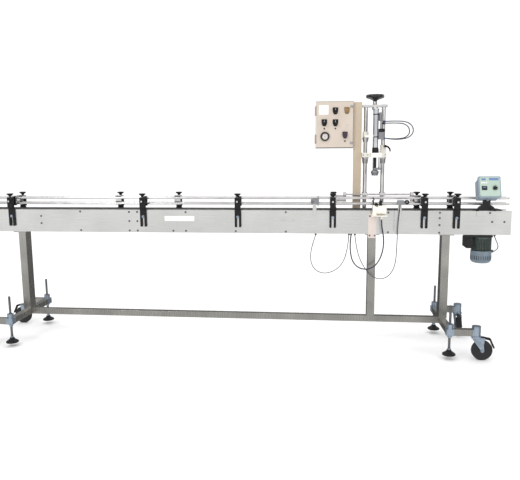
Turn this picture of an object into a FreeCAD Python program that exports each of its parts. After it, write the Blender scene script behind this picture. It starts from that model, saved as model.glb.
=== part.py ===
"""Inline capping machine: a slat-chain bottle conveyor with a pneumatic capping head.

Units are millimetres. The origin is on the floor under the middle of the conveyor,
X runs along the belt towards the drive end, Y points to the rear and Z points up.
"""
import FreeCAD, Part
import Sketcher
import math
import os
import re
import types
from FreeCAD import Placement, Rotation, Vector

SIZES = {
    # conveyor
    "belt_top": 900, "half_length": 1800, "rail_drop": 6, "rail_height": 150,
    "rail_wall": 3, "rail_half_width": 65, "rail_flange": 16,
    "rail_joint_x": 1085, "rail_joint_gap": 1.5,
    "slat_width": 82.5, "slat_thickness": 4, "slat_pitch": 38.1, "slat_gap": 1.2,
    "turn_radius": 66, "shaft_x": 1722, "shaft_radius": 12.5, "sprocket_width": 36,
    "sprocket_gap": 0.6, "bearing_radius": 24, "bearing_depth": 10, "running_gap": 0.05,
    "strip_width": 18, "strip_height": 8, "strip_inner": 21, "tie_height": 8, "tie_width": 30,
    "bolt_radius": 4, "bolt_head_radius": 6.5, "bolt_head_height": 4, "bolt_hole_gap": 0.2,
    # guide rails and their brackets
    "rod_radius": 6, "rod_low": "belt_top + 34", "rod_high": "belt_top + 70", "rod_offset": 36,
    "rod_overhang": 10,
    "grip_width": 40, "grip_depth": 16, "grip_margin": 14, "pin_radius": 6, "pin_length": 62,
    "bracket_width": 42, "bracket_depth": 12, "bracket_slot": 14,
    "bracket_bottom": "belt_top - 117", "bracket_slot_top": "belt_top - 40",
    "holder_width": 36, "holder_depth": 26, "holder_bottom": "belt_top + 5",
    "holder_top": "belt_top + 78", "knob_radius": 22, "knob_height": 25,
    "third_rod_height": "belt_top + 88", "third_rod_y": "rail_half_width - 11",
    "third_rod_left": 778, "third_rod_right": 1209,
    # frame
    "post_width": 50, "post_depth": 76, "tube_wall": 2, "post_x": 1415, "leg_x": 952,
    "base_tube": 40, "base_bottom": 153, "head_plate": 6,
    "foot_y": 262, "clamp_width": 46, "clamp_height": 72, "clamp_boss": 20,
    "foot_screw_radius": 8, "foot_screw_length": 312, "pad_radius": 40, "pad_bottom": 26,
    "caster_x": 1572, "socket_radius": 26, "socket_height": 60, "stem_radius": 11,
    "wheel_radius": 62.5, "wheel_width": 32, "wheel_trail": 37, "axle_radius": 5,
    "fork_gap": 2, "fork_plate": 4, "pedal_width": 24, "pedal_pin_radius": 3,
    # drive
    "motor_x": 1643, "motor_radius": 62, "motor_top": "belt_top - 172",
    "cowl_top": "motor_top - 91", "cowl_height": 78,
    "gearbox_left": 1536, "gearbox_width": 44, "gearbox_bottom": "motor_top - 73",
    "gearbox_depth": 96,
    # capper post and control box
    "mast_x": 856, "mast_size": 50, "mast_top": "belt_top + 676",
    "box_left": 590, "box_width": 236, "box_bottom": "belt_top + 386",
    "box_height": 298, "box_front": "rail_half_width - 5",
    "box_depth": 122, "box_wall": 2, "door_depth": 14, "door_gap": 0.5, "hinge_radius": 5,
    "hinge_pin": 2.5,
    # capping head
    "column_left": 908, "column_right": 1020, "column_y": "rail_half_width + 30",
    "column_radius": 12.5, "column_bottom": "belt_top - 140",
    "column_top": "belt_top + 662", "top_plate_bottom": "belt_top + 646",
    "top_plate_height": 14,
    "screw_radius": 8, "handwheel_radius": 58, "handwheel_height": 66,
    "head_x": 964, "cross_bottom": "belt_top + 327", "cross_height": 29, "cross_depth": 44,
    "cylinder_radius": 17, "cylinder_height": 276, "ram_radius": 9, "ram_length": 140,
    "stay_radius": 6, "stay_offset": "cylinder_radius + 10", "screw_reach": 70, "chuck_radius": 25,
    "chuck_height": 36, "chuck_bore": 14, "chuck_bore_depth": 14,
    # bottle clamp
    "clamp_x": 988, "clamp_z": "belt_top + 4", "clamp_body_length": 88, "clamp_body_radius": 31,
    "push_rod_radius": 4, "push_pad_radius": 11,
    # speed controller
    "speed_x": 1640, "speed_width": 132, "speed_height": 134, "speed_depth": 98,
    "speed_front": "-rail_half_width - 103", "speed_bottom": "belt_top + 88", "speed_tilt": 21,
}

DOC = FreeCAD.newDocument("CappingMachine")
SHEET = DOC.addObject("Spreadsheet::Sheet", "Sizes")


def fill_sheet():
    """Write every size as an aliased cell, some set out from others, and read them back."""
    for row, (alias, value) in enumerate(SIZES.items(), start=1):
        SHEET.set(f"A{row}", alias)
        SHEET.set(f"B{row}", f"={value}" if isinstance(value, str) else str(value))
        SHEET.setAlias(f"B{row}", alias)
    DOC.recompute()
    return types.SimpleNamespace(**{alias: float(SHEET.get(alias)) for alias in SIZES})


D = fill_sheet()
NODES = []

# Levels and places that follow from the driving dimensions.
RAIL_TOP = D.belt_top - D.rail_drop
RAIL_UNDER = RAIL_TOP - D.rail_height
SHAFT_Z = D.belt_top - D.slat_thickness / 2 - D.turn_radius
BASE_TOP = D.base_bottom + D.base_tube
ROD_MIDDLE = (D.rod_low + D.rod_high) / 2
CROSS_TOP = D.cross_bottom + D.cross_height
RIGHT_AND_LEFT = (1, -1)
REAR_AND_FRONT = (1, -1)
CORNERS = {"front_left": (-1, -1), "front_right": (1, -1), "rear_left": (-1, 1),
           "rear_right": (1, 1)}
TO_X = Rotation(Vector(0, 1, 0), 90)
TO_Y = Rotation(Vector(1, 0, 0), -90)
HALF_TURN = Rotation(Vector(0, 0, 1), 180)


# ---------------------------------------------------------------- helpers

def linked(text):
    """Turn a formula over size names into an expression over the sheet."""
    def look_up(word):
        return f"Sizes.{word.group()}" if word.group() in SIZES else word.group()
    return re.sub(r"[a-z_]+", look_up, str(text))


def place(piece, at, turn=None):
    """Put a piece at three formulas, turned by a Rotation first."""
    if turn:
        piece.Placement = Placement(Vector(), turn)
    for axis, text in zip("xyz", at):
        piece.setExpression(f"Placement.Base.{axis}", linked(text))
    return piece


def block(name, size, corner):
    piece = DOC.addObject("Part::Box", name)
    for side, text in zip(("Length", "Width", "Height"), size):
        piece.setExpression(side, linked(text))
    return place(piece, corner)


def bar(name, radius, length, start, turn=None):
    """A cylinder that runs along +Z, or along +X or +Y when it is turned."""
    piece = DOC.addObject("Part::Cylinder", name)
    piece.setExpression("Radius", linked(radius))
    piece.setExpression("Height", linked(length))
    return place(piece, start, turn)


def joined(name, pieces):
    piece = DOC.addObject("Part::MultiFuse", name)
    piece.Shapes = pieces
    return piece


def cut(name, base, tool):
    piece = DOC.addObject("Part::Cut", name)
    piece.Base, piece.Tool = base, tool
    return piece


def together(name, pieces):
    """Separate solids that share one node."""
    piece = DOC.addObject("Part::Compound", name)
    piece.Links = pieces
    return piece


def tube(name, size, corner, wall, along):
    """A square tube: a block with a smaller one cut out from end to end."""
    inner_size = [text if side == along else f"{text} - 2 * ({wall})"
                  for side, text in enumerate(size)]
    inner_corner = [text if side == along else f"{text} + ({wall})"
                    for side, text in enumerate(corner)]
    return cut(name, block(name + "_outside", size, corner),
               block(name + "_inside", inner_size, inner_corner))


def node(label, piece):
    """Name a finished sub-part; its label is its file name."""
    piece.Label = label
    NODES.append(piece)
    return piece


def shaped(label, shapes, placement=None):
    """A node whose solids are set with Part's own functions, for patterns of many pieces."""
    piece = DOC.addObject("Part::Feature", label)
    piece.Shape = shapes[0] if len(shapes) == 1 else Part.makeCompound(shapes)
    if placement:
        piece.Placement = placement
    return node(label, piece)


def outline_body(name, plane, points):
    """A body with a closed sketch whose corners are bound to the sheet."""
    body = DOC.addObject("PartDesign::Body", name)
    sketch = body.newObject("Sketcher::SketchObject", name + "_outline")
    base_plane = next(item for item in body.Origin.OriginFeatures if item.Role == plane)
    sketch.AttachmentSupport = [(base_plane, "")]
    sketch.MapMode = "FlatFace"
    corners = [Vector(*(float(SHEET.evalExpression(linked(text))) for text in point), 0)
               for point in points]
    for start, end in zip(corners, corners[1:] + corners[:1]):
        sketch.addGeometry(Part.LineSegment(start, end), False)
    count = len(corners)
    for index in range(count):
        sketch.addConstraint(Sketcher.Constraint("Coincident", index, 2, (index + 1) % count, 1))
    for index, point in enumerate(points):
        distances = (("DistanceX", -2, point[0], corners[index].x),
                     ("DistanceY", -1, point[1], corners[index].y))
        for kind, axis_line, text, value in distances:
            if text == "0":
                sketch.addConstraint(Sketcher.Constraint("PointOnObject", index, 1, axis_line))
                continue
            number = sketch.addConstraint(Sketcher.Constraint(kind, -1, 1, index, 1, value))
            sketch.setExpression(f"Constraints[{number}]", linked(text))
    return body, sketch


def turned(name, points, at=("0", "0", "0"), turn=None):
    """A turned body: its half outline is (radius, height) round its own Z axis."""
    body, sketch = outline_body(name, "XZ_Plane", points)
    spin = body.newObject("PartDesign::Revolution", name + "_turning")
    spin.Profile = sketch
    spin.ReferenceAxis = (sketch, ["V_Axis"])
    spin.Angle = 360
    return place(body, at, turn)


def extruded(name, plane, points, length, at=("0", "0", "0"), turn=None):
    """A padded body: a closed outline on one plane, pulled through a length."""
    body, sketch = outline_body(name, plane, points)
    pad = body.newObject("PartDesign::Pad", name + "_pad")
    pad.Profile = sketch
    pad.setExpression("Length", linked(length))
    return place(body, at, turn)


def box_between(x, y, z):
    """A plain block from three (low, high) pairs."""
    return Part.makeBox(x[1] - x[0], y[1] - y[0], z[1] - z[0], Vector(x[0], y[0], z[0]))


def pin_between(radius, start, end):
    axis = Vector(*end) - Vector(*start)
    return Part.makeCylinder(radius, axis.Length, Vector(*start), axis)


def sided(side, near, far):
    """A low and high pair on the front or rear side, from distances off the middle."""
    return (near, far) if side > 0 else (-far, -near)


# ---------------------------------------------------------------- conveyor

# Bolts through both side rails: place along the belt, drop below the rail's top edge.
RAIL_BOLTS = ((-1256, 44), (-1256, 92), (-980, 12), (-980, 138), (-643, 14), (-643, 75),
              (-643, 138), (-588, 14), (-588, 75), (-588, 138), (-345, 138), (-260, 14),
              (-260, 138), (72, 138), (399, 12), (399, 138), (1049, 12), (1049, 138),
              (1367, 12), (1367, 46), (1367, 90), (1367, 138), (1670, 12))
TIE_PLACES = (-1560, -1120, -450, 250, 760, 1130, 1560)
BRACKETS = {-1: (-1460, -544, 88, 700, 1271, 1468), 1: (-1452, -745, -336, 705, 1243, 1454)}
BRACKET_BOLT_DROP = 44
BEARING_BOLT_SPREAD = 36.5


def bolt_places(side):
    """Every bolt through one rail, as (x, z)."""
    places = [(x, RAIL_TOP - drop) for x, drop in RAIL_BOLTS]
    places += [(x, RAIL_TOP - BRACKET_BOLT_DROP) for x in BRACKETS[side]]
    for end in RIGHT_AND_LEFT:
        places += [(end * D.shaft_x + off, SHAFT_Z - 6)
                   for off in (-BEARING_BOLT_SPREAD, BEARING_BOLT_SPREAD)]
    return places


def rail_length(name, side, start, end):
    """One length of folded side rail, open towards the chain."""
    wall = "rail_half_width - rail_wall"
    lip = "rail_half_width - rail_flange"
    points = [("rail_half_width", "0"), ("rail_half_width", "rail_height"), (lip, "rail_height"),
              (lip, "rail_height - rail_wall"), (wall, "rail_height - rail_wall"),
              (wall, "rail_wall"), (lip, "rail_wall"), (lip, "0")]
    foot = "belt_top - rail_drop - rail_height"
    if side > 0:
        return extruded(name, "YZ_Plane", points, f"{end} - ({start})", (start, "0", foot))
    return extruded(name, "YZ_Plane", points, f"{end} - ({start})", (end, "0", foot), HALF_TURN)


def make_rails():
    stretches = (("-half_length", "rail_joint_x"), ("rail_joint_x + rail_joint_gap", "half_length"))
    for side, label in ((-1, "front_rail"), (1, "rear_rail")):
        lengths = [rail_length(f"{label}_length_{number}", side, start, end)
                   for number, (start, end) in enumerate(stretches, start=1)]
        holes = DOC.addObject("Part::Feature", label + "_bolt_holes")
        reach = (side * (D.rail_half_width - D.rail_wall - 2), side * (D.rail_half_width + 2))
        radius = D.bolt_radius + D.bolt_hole_gap
        holes.Shape = Part.makeCompound([pin_between(radius, (x, reach[0], z), (x, reach[1], z))
                                         for x, z in bolt_places(side)])
        node(label, cut(label + "_drilled", together(label + "_lengths", lengths), holes))


def make_rail_bolts():
    bolts = []
    for side in REAR_AND_FRONT:
        for x, z in bolt_places(side):
            on_bracket = x in BRACKETS[side] and abs(z - (RAIL_TOP - BRACKET_BOLT_DROP)) < 1
            face = D.rail_half_width + (D.bracket_depth if on_bracket else 0)
            inner = D.rail_half_width - D.rail_wall
            shank = pin_between(D.bolt_radius, (x, side * inner, z), (x, side * face, z))
            head_end = side * (face + D.bolt_head_height)
            head_radius = D.bolt_head_radius * (1.5 if on_bracket else 1)
            head = pin_between(head_radius, (x, side * face, z), (x, head_end, z))
            bolts.append(shank.fuse(head).removeSplitter())
    shaped("rail_bolts", bolts)


def make_chain_bed():
    """Cross ties between the rails and the plastic strips that carry the chain."""
    inner = D.rail_half_width - D.rail_wall
    run_end = D.shaft_x - D.turn_radius - 12
    strip_top = D.belt_top - D.slat_thickness
    return_top = SHAFT_Z - D.turn_radius - D.slat_thickness / 2
    ties, strips = [], []
    for top in (strip_top, return_top):
        low = top - D.strip_height
        for x in TIE_PLACES:
            across = (x - D.tie_width / 2, x + D.tie_width / 2)
            ties.append(box_between(across, (-inner, inner), (low - D.tie_height, low)))
        for side in REAR_AND_FRONT:
            width = sided(side, D.strip_inner, D.strip_inner + D.strip_width)
            strips.append(box_between((-run_end, run_end), width, (low, top)))
    shaped("chain_bed", ties + strips)


def loop_point(distance):
    """Centre line of the chain: place and heading at a distance round the loop."""
    straight, bend = 2 * D.shaft_x, math.pi * D.turn_radius
    distance %= 2 * (straight + bend)
    if distance < straight:
        return -D.shaft_x + distance, SHAFT_Z + D.turn_radius, 0
    distance -= straight
    if distance < bend:
        angle = distance / D.turn_radius
        return (D.shaft_x + D.turn_radius * math.sin(angle),
                SHAFT_Z + D.turn_radius * math.cos(angle), -math.degrees(angle))
    distance -= bend
    if distance < straight:
        return D.shaft_x - distance, SHAFT_Z - D.turn_radius, 180
    angle = math.pi + (distance - straight) / D.turn_radius
    return (-D.shaft_x + D.turn_radius * math.sin(angle),
            SHAFT_Z + D.turn_radius * math.cos(angle), -math.degrees(angle))


def make_slat_chain():
    length = 2 * (2 * D.shaft_x + math.pi * D.turn_radius)
    count = round(length / D.slat_pitch)
    slat = Part.makeBox(D.slat_pitch - D.slat_gap, D.slat_width, D.slat_thickness,
                        Vector(-(D.slat_pitch - D.slat_gap) / 2, -D.slat_width / 2,
                               -D.slat_thickness / 2))
    slats = []
    for number in range(count):
        x, z, heading = loop_point((number + 0.5) * length / count)
        piece = slat.copy()
        piece.Placement = Placement(Vector(x, 0, z), Rotation(Vector(0, 1, 0), -heading))
        slats.append(piece)
    shaped("slat_chain", slats)


def make_shafts():
    """Drive and tail shafts, each with its chain sprocket."""
    half = "rail_half_width - rail_wall - 1"
    tip = "turn_radius - slat_thickness / 2 - sprocket_gap"
    teeth = round(2 * math.pi * D.turn_radius / D.slat_pitch)
    for label, side in (("drive_shaft", ""), ("tail_shaft", "-")):
        height = "belt_top - slat_thickness / 2 - turn_radius"
        shaft = bar(label + "_bar", "shaft_radius", f"2 * ({half})",
                    (f"{side}shaft_x", f"-({half})", height), TO_Y)
        disc = turned(label + "_disc", [("shaft_radius", "0"), (tip, "0"),
                                        (tip, "sprocket_width"), ("shaft_radius", "sprocket_width")],
                      (f"{side}shaft_x", "-sprocket_width / 2", height), TO_Y)
        gullets = DOC.addObject("Part::Feature", label + "_gullets")
        centre_x = D.shaft_x if side == "" else -D.shaft_x
        gullets.Shape = Part.makeCompound([
            pin_between(7, (centre_x + D.turn_radius * math.cos(angle), -D.sprocket_width,
                            SHAFT_Z + D.turn_radius * math.sin(angle)),
                        (centre_x + D.turn_radius * math.cos(angle), D.sprocket_width,
                         SHAFT_Z + D.turn_radius * math.sin(angle)))
            for angle in (2 * math.pi * tooth / teeth for tooth in range(teeth))])
        sprocket = cut(label + "_sprocket", disc, gullets)
        node(label, together(label + "_set", [shaft, sprocket]))


def make_bearings():
    """Two-bolt flange bearings inside the rails, one at each end of each shaft."""
    outer = D.rail_half_width - D.rail_wall
    bearings = []
    for end in RIGHT_AND_LEFT:
        for side in REAR_AND_FRONT:
            x = end * D.shaft_x
            faces = (side * (outer - D.bearing_depth), side * outer)
            ring = pin_between(D.bearing_radius, (x, faces[0], SHAFT_Z), (x, faces[1], SHAFT_Z))
            ear_length = BEARING_BOLT_SPREAD + 10
            ears = box_between((x - ear_length, x + ear_length), sided(side, outer - 6, outer),
                               (SHAFT_Z - 16, SHAFT_Z + 4))
            bore = pin_between(D.shaft_radius + D.running_gap, (x, faces[0] - side, SHAFT_Z),
                               (x, faces[1] + side, SHAFT_Z))
            bearings.append(ring.fuse(ears).cut(bore).removeSplitter())
    shaped("shaft_bearings", bearings)


# ---------------------------------------------------------------- guide rails

def make_guide_rails():
    """Two round rails a side with their grips; each grip's pin slides in a bracket."""
    half = D.half_length - D.rod_overhang
    for side, label in ((-1, "front_guide_rails"), (1, "rear_guide_rails")):
        y = side * D.rod_offset
        solids = [pin_between(D.rod_radius, (-half, y, z), (half, y, z))
                  for z in (D.rod_low, D.rod_high)]
        rails = Part.makeCompound([solid.copy() for solid in solids])
        for x in BRACKETS[side]:
            grip = box_between((x - D.grip_width / 2, x + D.grip_width / 2),
                               (y - D.grip_depth / 2, y + D.grip_depth / 2),
                               (D.rod_low - D.grip_margin, D.rod_high + D.grip_margin))
            back = y + side * D.grip_depth / 2
            pin = pin_between(D.pin_radius, (x, back - side, ROD_MIDDLE),
                              (x, back + side * D.pin_length, ROD_MIDDLE))
            solids.append(grip.fuse(pin).cut(rails).removeSplitter())
        shaped(label, solids)


def make_guide_brackets():
    """Slotted black brackets on the rails, each with its clamping knob."""
    face = D.rail_half_width
    solids = []
    for side in REAR_AND_FRONT:
        for x in BRACKETS[side]:
            half = D.bracket_width / 2
            leg = box_between((x - half, x + half), sided(side, face, face + D.bracket_depth),
                              (D.bracket_bottom, D.holder_bottom))
            slot = box_between((x - D.bracket_slot / 2, x + D.bracket_slot / 2),
                               sided(side, face - 1, face + D.bracket_depth + 1),
                               (D.bracket_bottom - 1, D.bracket_slot_top))
            holder = box_between((x - D.holder_width / 2, x + D.holder_width / 2),
                                 sided(side, face, face + D.holder_depth),
                                 (D.holder_bottom, D.holder_top))
            bore = pin_between(D.pin_radius + D.running_gap, (x, side * (face - 1), ROD_MIDDLE),
                               (x, side * (face + D.holder_depth + 1), ROD_MIDDLE))
            solids.append(leg.cut(slot).fuse(holder).cut(bore).removeSplitter())
            solids.append(knob_shape(x, side * (face + D.holder_depth / 2)))
    shaped("guide_brackets", solids)


def knob_shape(x, y):
    """A flared hand knob standing on a bracket."""
    neck, flare, rim = 8, 10, 7
    outline = [(0, 0), (neck, 0), (flare, neck), (D.knob_radius, D.knob_height - rim),
               (D.knob_radius, D.knob_height), (0, D.knob_height)]
    wire = Part.makePolygon([Vector(radius, 0, height) for radius, height in outline]
                            + [Vector(0, 0, 0)])
    knob = Part.Face(wire).revolve(Vector(), Vector(0, 0, 1), 360)
    knob.translate(Vector(x, y, D.holder_top))
    return knob


def make_third_rod():
    """The upper rear rod, its end holders and its cross clamps on the two columns."""
    y, z = D.third_rod_y, D.third_rod_height
    solids = [pin_between(D.rod_radius, (D.third_rod_left, y, z), (D.third_rod_right, y, z))]
    rod = solids[0].copy()
    half, cap = 10, 11
    for x, bracket_x in ((D.third_rod_left, BRACKETS[1][3]), (D.third_rod_right, BRACKETS[1][4])):
        toward = 1 if bracket_x > x else -1
        holder_face = bracket_x - toward * D.holder_width / 2
        top = box_between((x - half, x + half), (y - cap, D.rail_half_width + 15),
                          (z - 8, z + cap))
        low = box_between(sorted((x - toward * half, holder_face)),
                          (D.rail_half_width + 2, D.rail_half_width + 15),
                          (D.holder_bottom + 35, z - 8))
        solids.append(top.fuse(low).cut(rod).removeSplitter())
    for x in (D.column_left, D.column_right):
        column = pin_between(D.column_radius, (x, D.column_y, z - 20), (x, D.column_y, z + 20))
        clamp = box_between((x - 17, x + 17), (y - cap, D.column_y + 17), (z - 8, z + cap))
        solids.append(clamp.cut(column).cut(rod).removeSplitter())
    shaped("third_guide_rod", solids)


# ---------------------------------------------------------------- frame

def make_frame():
    """Square stainless tubes: end posts, middle leg, stretcher, cross arms and caster arms."""
    rail_foot = "belt_top - rail_drop - rail_height"
    base_top = "base_bottom + base_tube"
    pieces = []
    for name, x in (("left_post", "-post_x"), ("right_post", "post_x"), ("middle_leg", "leg_x")):
        height = f"{rail_foot} - head_plate - ({base_top})"
        corner = (f"{x} - post_width / 2", "-post_depth / 2", base_top)
        pieces.append(tube(name, ("post_width", "post_depth", height), corner, "tube_wall", 2))
        plate = block(name + "_plate", ("post_width + 40", "2 * rail_half_width", "head_plate"),
                      (f"{x} - post_width / 2 - 20", "-rail_half_width",
                       f"{rail_foot} - head_plate"))
        pieces.append(plate)
    pieces.append(tube("stretcher", ("2 * post_x - base_tube", "base_tube", "base_tube"),
                       ("base_tube / 2 - post_x", "-base_tube / 2", "base_bottom"),
                       "tube_wall", 0))
    arm_half = "foot_y - clamp_width / 2"
    for name, x in (("left_cross_arm", "-post_x"), ("right_cross_arm", "post_x")):
        pieces.append(tube(name, ("base_tube", f"2 * ({arm_half})", "base_tube"),
                           (f"{x} - base_tube / 2", f"-({arm_half})", "base_bottom"),
                           "tube_wall", 1))
    reach = "caster_x - socket_radius - post_x - clamp_width / 2"
    for name, (along, side) in CORNERS.items():
        start = "post_x + clamp_width / 2" if along > 0 else "socket_radius - caster_x"
        middle = "foot_y" if side > 0 else "-foot_y"
        pieces.append(tube(name + "_caster_arm", (reach, "base_tube", "base_tube"),
                           (start, f"{middle} - base_tube / 2", "base_bottom"), "tube_wall", 0))
    node("base_frame", together("base_frame_tubes", pieces))


def make_base_clamps():
    """Cast foot clamps at the cross arms' ends and the casters' stem sockets."""
    half, boss_foot = D.clamp_width / 2, D.base_bottom - 3
    solids = []
    for along, side in CORNERS.values():
        x, y = along * D.post_x, side * D.foot_y
        body = box_between((x - half, x + half), (y - half, y + half), (D.base_bottom, BASE_TOP))
        boss = pin_between(D.clamp_boss, (x, y, boss_foot), (x, y, boss_foot + D.clamp_height))
        bore = pin_between(D.foot_screw_radius + D.running_gap, (x, y, boss_foot - 1),
                           (x, y, boss_foot + D.clamp_height + 1))
        solids.append(body.fuse(boss).cut(bore).removeSplitter())
        x = along * D.caster_x
        socket = pin_between(D.socket_radius, (x, y, D.base_bottom),
                             (x, y, D.base_bottom + D.socket_height))
        shoulder = box_between(sorted((x, x - along * D.socket_radius)),
                               (y - D.base_tube / 2, y + D.base_tube / 2),
                               (D.base_bottom, BASE_TOP))
        bore = pin_between(D.stem_radius + D.running_gap, (x, y, D.base_bottom - 1),
                           (x, y, D.base_bottom + D.socket_height - 6))
        solids.append(socket.fuse(shoulder).cut(bore).removeSplitter())
    shaped("base_clamps", solids)


def make_levelling_feet():
    """Four screwed feet with conical pads and a nut under each clamp."""
    pad, hub = "pad_radius", "foot_screw_radius * 2"
    nut_low = "base_bottom - 17 - pad_bottom"
    foot = turned("foot_pattern", [
        ("0", "0"), (pad, "0"), (pad, "8"), (hub, "24"), (hub, "32"),
        ("foot_screw_radius", "32"), ("foot_screw_radius", nut_low), ("13", nut_low),
        ("13", f"{nut_low} + 13"), ("foot_screw_radius", f"{nut_low} + 13"),
        ("foot_screw_radius", "foot_screw_length"), ("0", "foot_screw_length")])
    DOC.recompute()
    feet = []
    for along, side in CORNERS.values():
        piece = foot.Shape.copy()
        piece.translate(Vector(along * D.post_x, side * D.foot_y, D.pad_bottom))
        feet.append(piece)
    shaped("levelling_feet", feet)


def fork_shape():
    """A swivel fork with its stem, axle and pedal pin; the swivel axis is its Z axis."""
    inner = D.wheel_width / 2 + D.fork_gap
    outer = inner + D.fork_plate
    axle_x, axle_z = D.wheel_trail, D.wheel_radius
    top = D.base_bottom - 0.3
    crown_top, crown_low = top - 9.7, top - 17.7
    stem = pin_between(D.stem_radius, (0, 0, crown_top), (0, 0, D.base_bottom + D.socket_height - 8))
    disc = pin_between(D.socket_radius + 4, (0, 0, crown_top), (0, 0, top))
    crown = box_between((-26, 22), (-outer, outer), (crown_low, crown_top))
    outline = [(-26, crown_top), (48, crown_top), (48, crown_low - 1), (axle_x + 6, 100),
               (axle_x + 9, axle_z + 2), (axle_x + 5, axle_z - 11), (axle_x - 4, axle_z - 11),
               (axle_x - 9, axle_z + 2), (-26, crown_low)]
    plates = []
    for low in (-outer, inner):
        wire = Part.makePolygon([Vector(x, low, z) for x, z in outline + outline[:1]])
        plates.append(Part.Face(wire).extrude(Vector(0, D.fork_plate, 0)))
    axle = pin_between(D.axle_radius, (axle_x, -outer - 5, axle_z), (axle_x, outer + 5, axle_z))
    pin_x, pin_z = PEDAL_PIVOT
    pin = pin_between(D.pedal_pin_radius, (pin_x, -outer, pin_z), (pin_x, outer, pin_z))
    return stem.multiFuse([disc, crown, axle, pin] + plates).removeSplitter()


PEDAL_PIVOT = (41, 139)
PEDAL_OUTLINE = ((34, 133), (34, 141), (44, 146), (86, 137), (111, 82), (107, 74), (102, 79),
                 (80, 127), (46, 133))


def pedal_shape():
    """A brake pedal: a lever over the wheel with its pad bent down behind it."""
    half = D.pedal_width / 2
    wire = Part.makePolygon([Vector(x, -half, z) for x, z in PEDAL_OUTLINE + PEDAL_OUTLINE[:1]])
    lever = Part.Face(wire).extrude(Vector(0, D.pedal_width, 0))
    bore = pin_between(D.pedal_pin_radius + D.running_gap, (PEDAL_PIVOT[0], -half - 1, PEDAL_PIVOT[1]),
                       (PEDAL_PIVOT[0], half + 1, PEDAL_PIVOT[1]))
    return lever.cut(bore)


# How each caster has swivelled: the way its wheel trails, in degrees from +X.
CASTER_HEADINGS = {"front_left": 180, "front_right": 0, "rear_left": 180, "rear_right": -90}


def make_casters():
    """Four braked swivel casters, three trailing outwards and one swivelled across."""
    fork, pedal = fork_shape(), pedal_shape()
    bore, rim, width = "axle_radius + running_gap", "wheel_radius", "wheel_width"
    for name, (along, side) in CORNERS.items():
        spot = Vector(along * D.caster_x, side * D.foot_y, 0)
        placement = Placement(spot, Rotation(Vector(0, 0, 1), CASTER_HEADINGS[name]))
        shaped(f"{name}_fork", [fork.copy()], placement)
        shaped(f"{name}_pedal", [pedal.copy()], placement)
        swivel_x = "caster_x" if along > 0 else "-caster_x"
        swivel_y = "foot_y" if side > 0 else "-foot_y"
        if CASTER_HEADINGS[name] == -90:
            spot, turn = (f"{swivel_x} - wheel_width / 2", f"{swivel_y} - wheel_trail"), TO_X
        else:
            trail = "+ wheel_trail" if along > 0 else "- wheel_trail"
            spot, turn = (f"{swivel_x} {trail}", f"{swivel_y} - wheel_width / 2"), TO_Y
        wheel = turned(f"{name}_wheel_body", [
            (bore, "0"), ("22", "0"), ("22", "4"), ("49", "4"), ("53", "0"), (f"{rim} - 3", "2"),
            (rim, "8"), (rim, f"{width} - 8"), (f"{rim} - 3", f"{width} - 2"), ("53", width),
            ("49", f"{width} - 4"), ("22", f"{width} - 4"), ("22", width), (bore, width)],
            spot + ("wheel_radius",), turn)
        node(f"{name}_wheel", wheel)


# ---------------------------------------------------------------- drive

def make_drive():
    rail_foot = "belt_top - rail_drop - rail_height"
    plate = block("gear_plate", ("motor_x + motor_radius - 10 - gearbox_left", "2 * rail_half_width",
                                 f"{rail_foot} - motor_top"),
                  ("gearbox_left", "-rail_half_width", "motor_top"))
    case = block("gear_case", ("gearbox_width", "gearbox_depth", "motor_top - gearbox_bottom"),
                 ("gearbox_left", "-gearbox_depth / 2", "gearbox_bottom"))
    node("gearbox", joined("gearbox_case", [plate, case]))
    housing = turned("motor_body", [
        ("0", "0"), ("motor_radius", "0"), ("motor_radius", "motor_top - cowl_top - 8"),
        ("motor_radius - 10", "motor_top - cowl_top"), ("0", "motor_top - cowl_top")],
        ("motor_x", "0", "cowl_top"))
    cowl = turned("cowl_body", [
        ("0", "0"), ("motor_radius - 12", "0"), ("motor_radius - 2", "6"),
        ("motor_radius + 2", "18"), ("motor_radius + 2", "cowl_height"), ("0", "cowl_height")],
        ("motor_x", "0", "cowl_top - cowl_height"))
    gland = block("motor_gland", ("14", "16", "16"), ("motor_x + motor_radius - 5", "-28", "cowl_top - 11"))
    gland_cut = cut("motor_gland_fitted", gland, bar("motor_gland_seat", "motor_radius + 2", "40",
                                                     ("motor_x", "0", "cowl_top - 22")))
    node("motor", together("motor_pieces", [housing, cowl, gland_cut]))


# ---------------------------------------------------------------- capping station

def make_mast():
    """The capper's own post, bolted to the rear rail, and the front station plate."""
    foot = "belt_top - rail_drop - rail_height"
    post = tube("mast_tube", ("mast_size", "mast_size", f"mast_top - ({foot})"),
                ("mast_x - mast_size / 2", "rail_half_width", foot), "tube_wall", 2)
    cap = block("mast_cap", ("mast_size", "mast_size", "2"),
                ("mast_x - mast_size / 2", "rail_half_width", "mast_top"))
    node("mast", joined("mast_piece", [post, cap]))


GLANDS = (592, 804, 818.5, 842, 1706)


def make_rail_plates():
    """Fixed to the front rail: station plate, clamp shelf, labels, controller foot, glands."""
    face = -D.rail_half_width
    plates = [
        box_between((924, 976), (face - 4, face), (RAIL_UNDER - 25, RAIL_TOP - 18)),
        box_between((D.clamp_x - 48, D.clamp_x + 48), (face - 85, face - 4),
                    (RAIL_TOP - 28, RAIL_TOP - 22)),
        box_between((-406, -198), (face - 1, face), (RAIL_TOP - 76, RAIL_TOP - 36)),
        box_between((349, 459), (face - 1, face), (RAIL_TOP - 72, RAIL_TOP - 52)),
        box_between((D.speed_x - 52, D.speed_x + 18), (face - 4, face),
                    (RAIL_TOP - 34, RAIL_TOP + 11)),
    ]
    glands = [pin_between(7, (x, face + 8, RAIL_UNDER - 8), (x, face + 8, RAIL_UNDER))
              for x in GLANDS]
    shaped("rail_plates", plates + glands)


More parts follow.
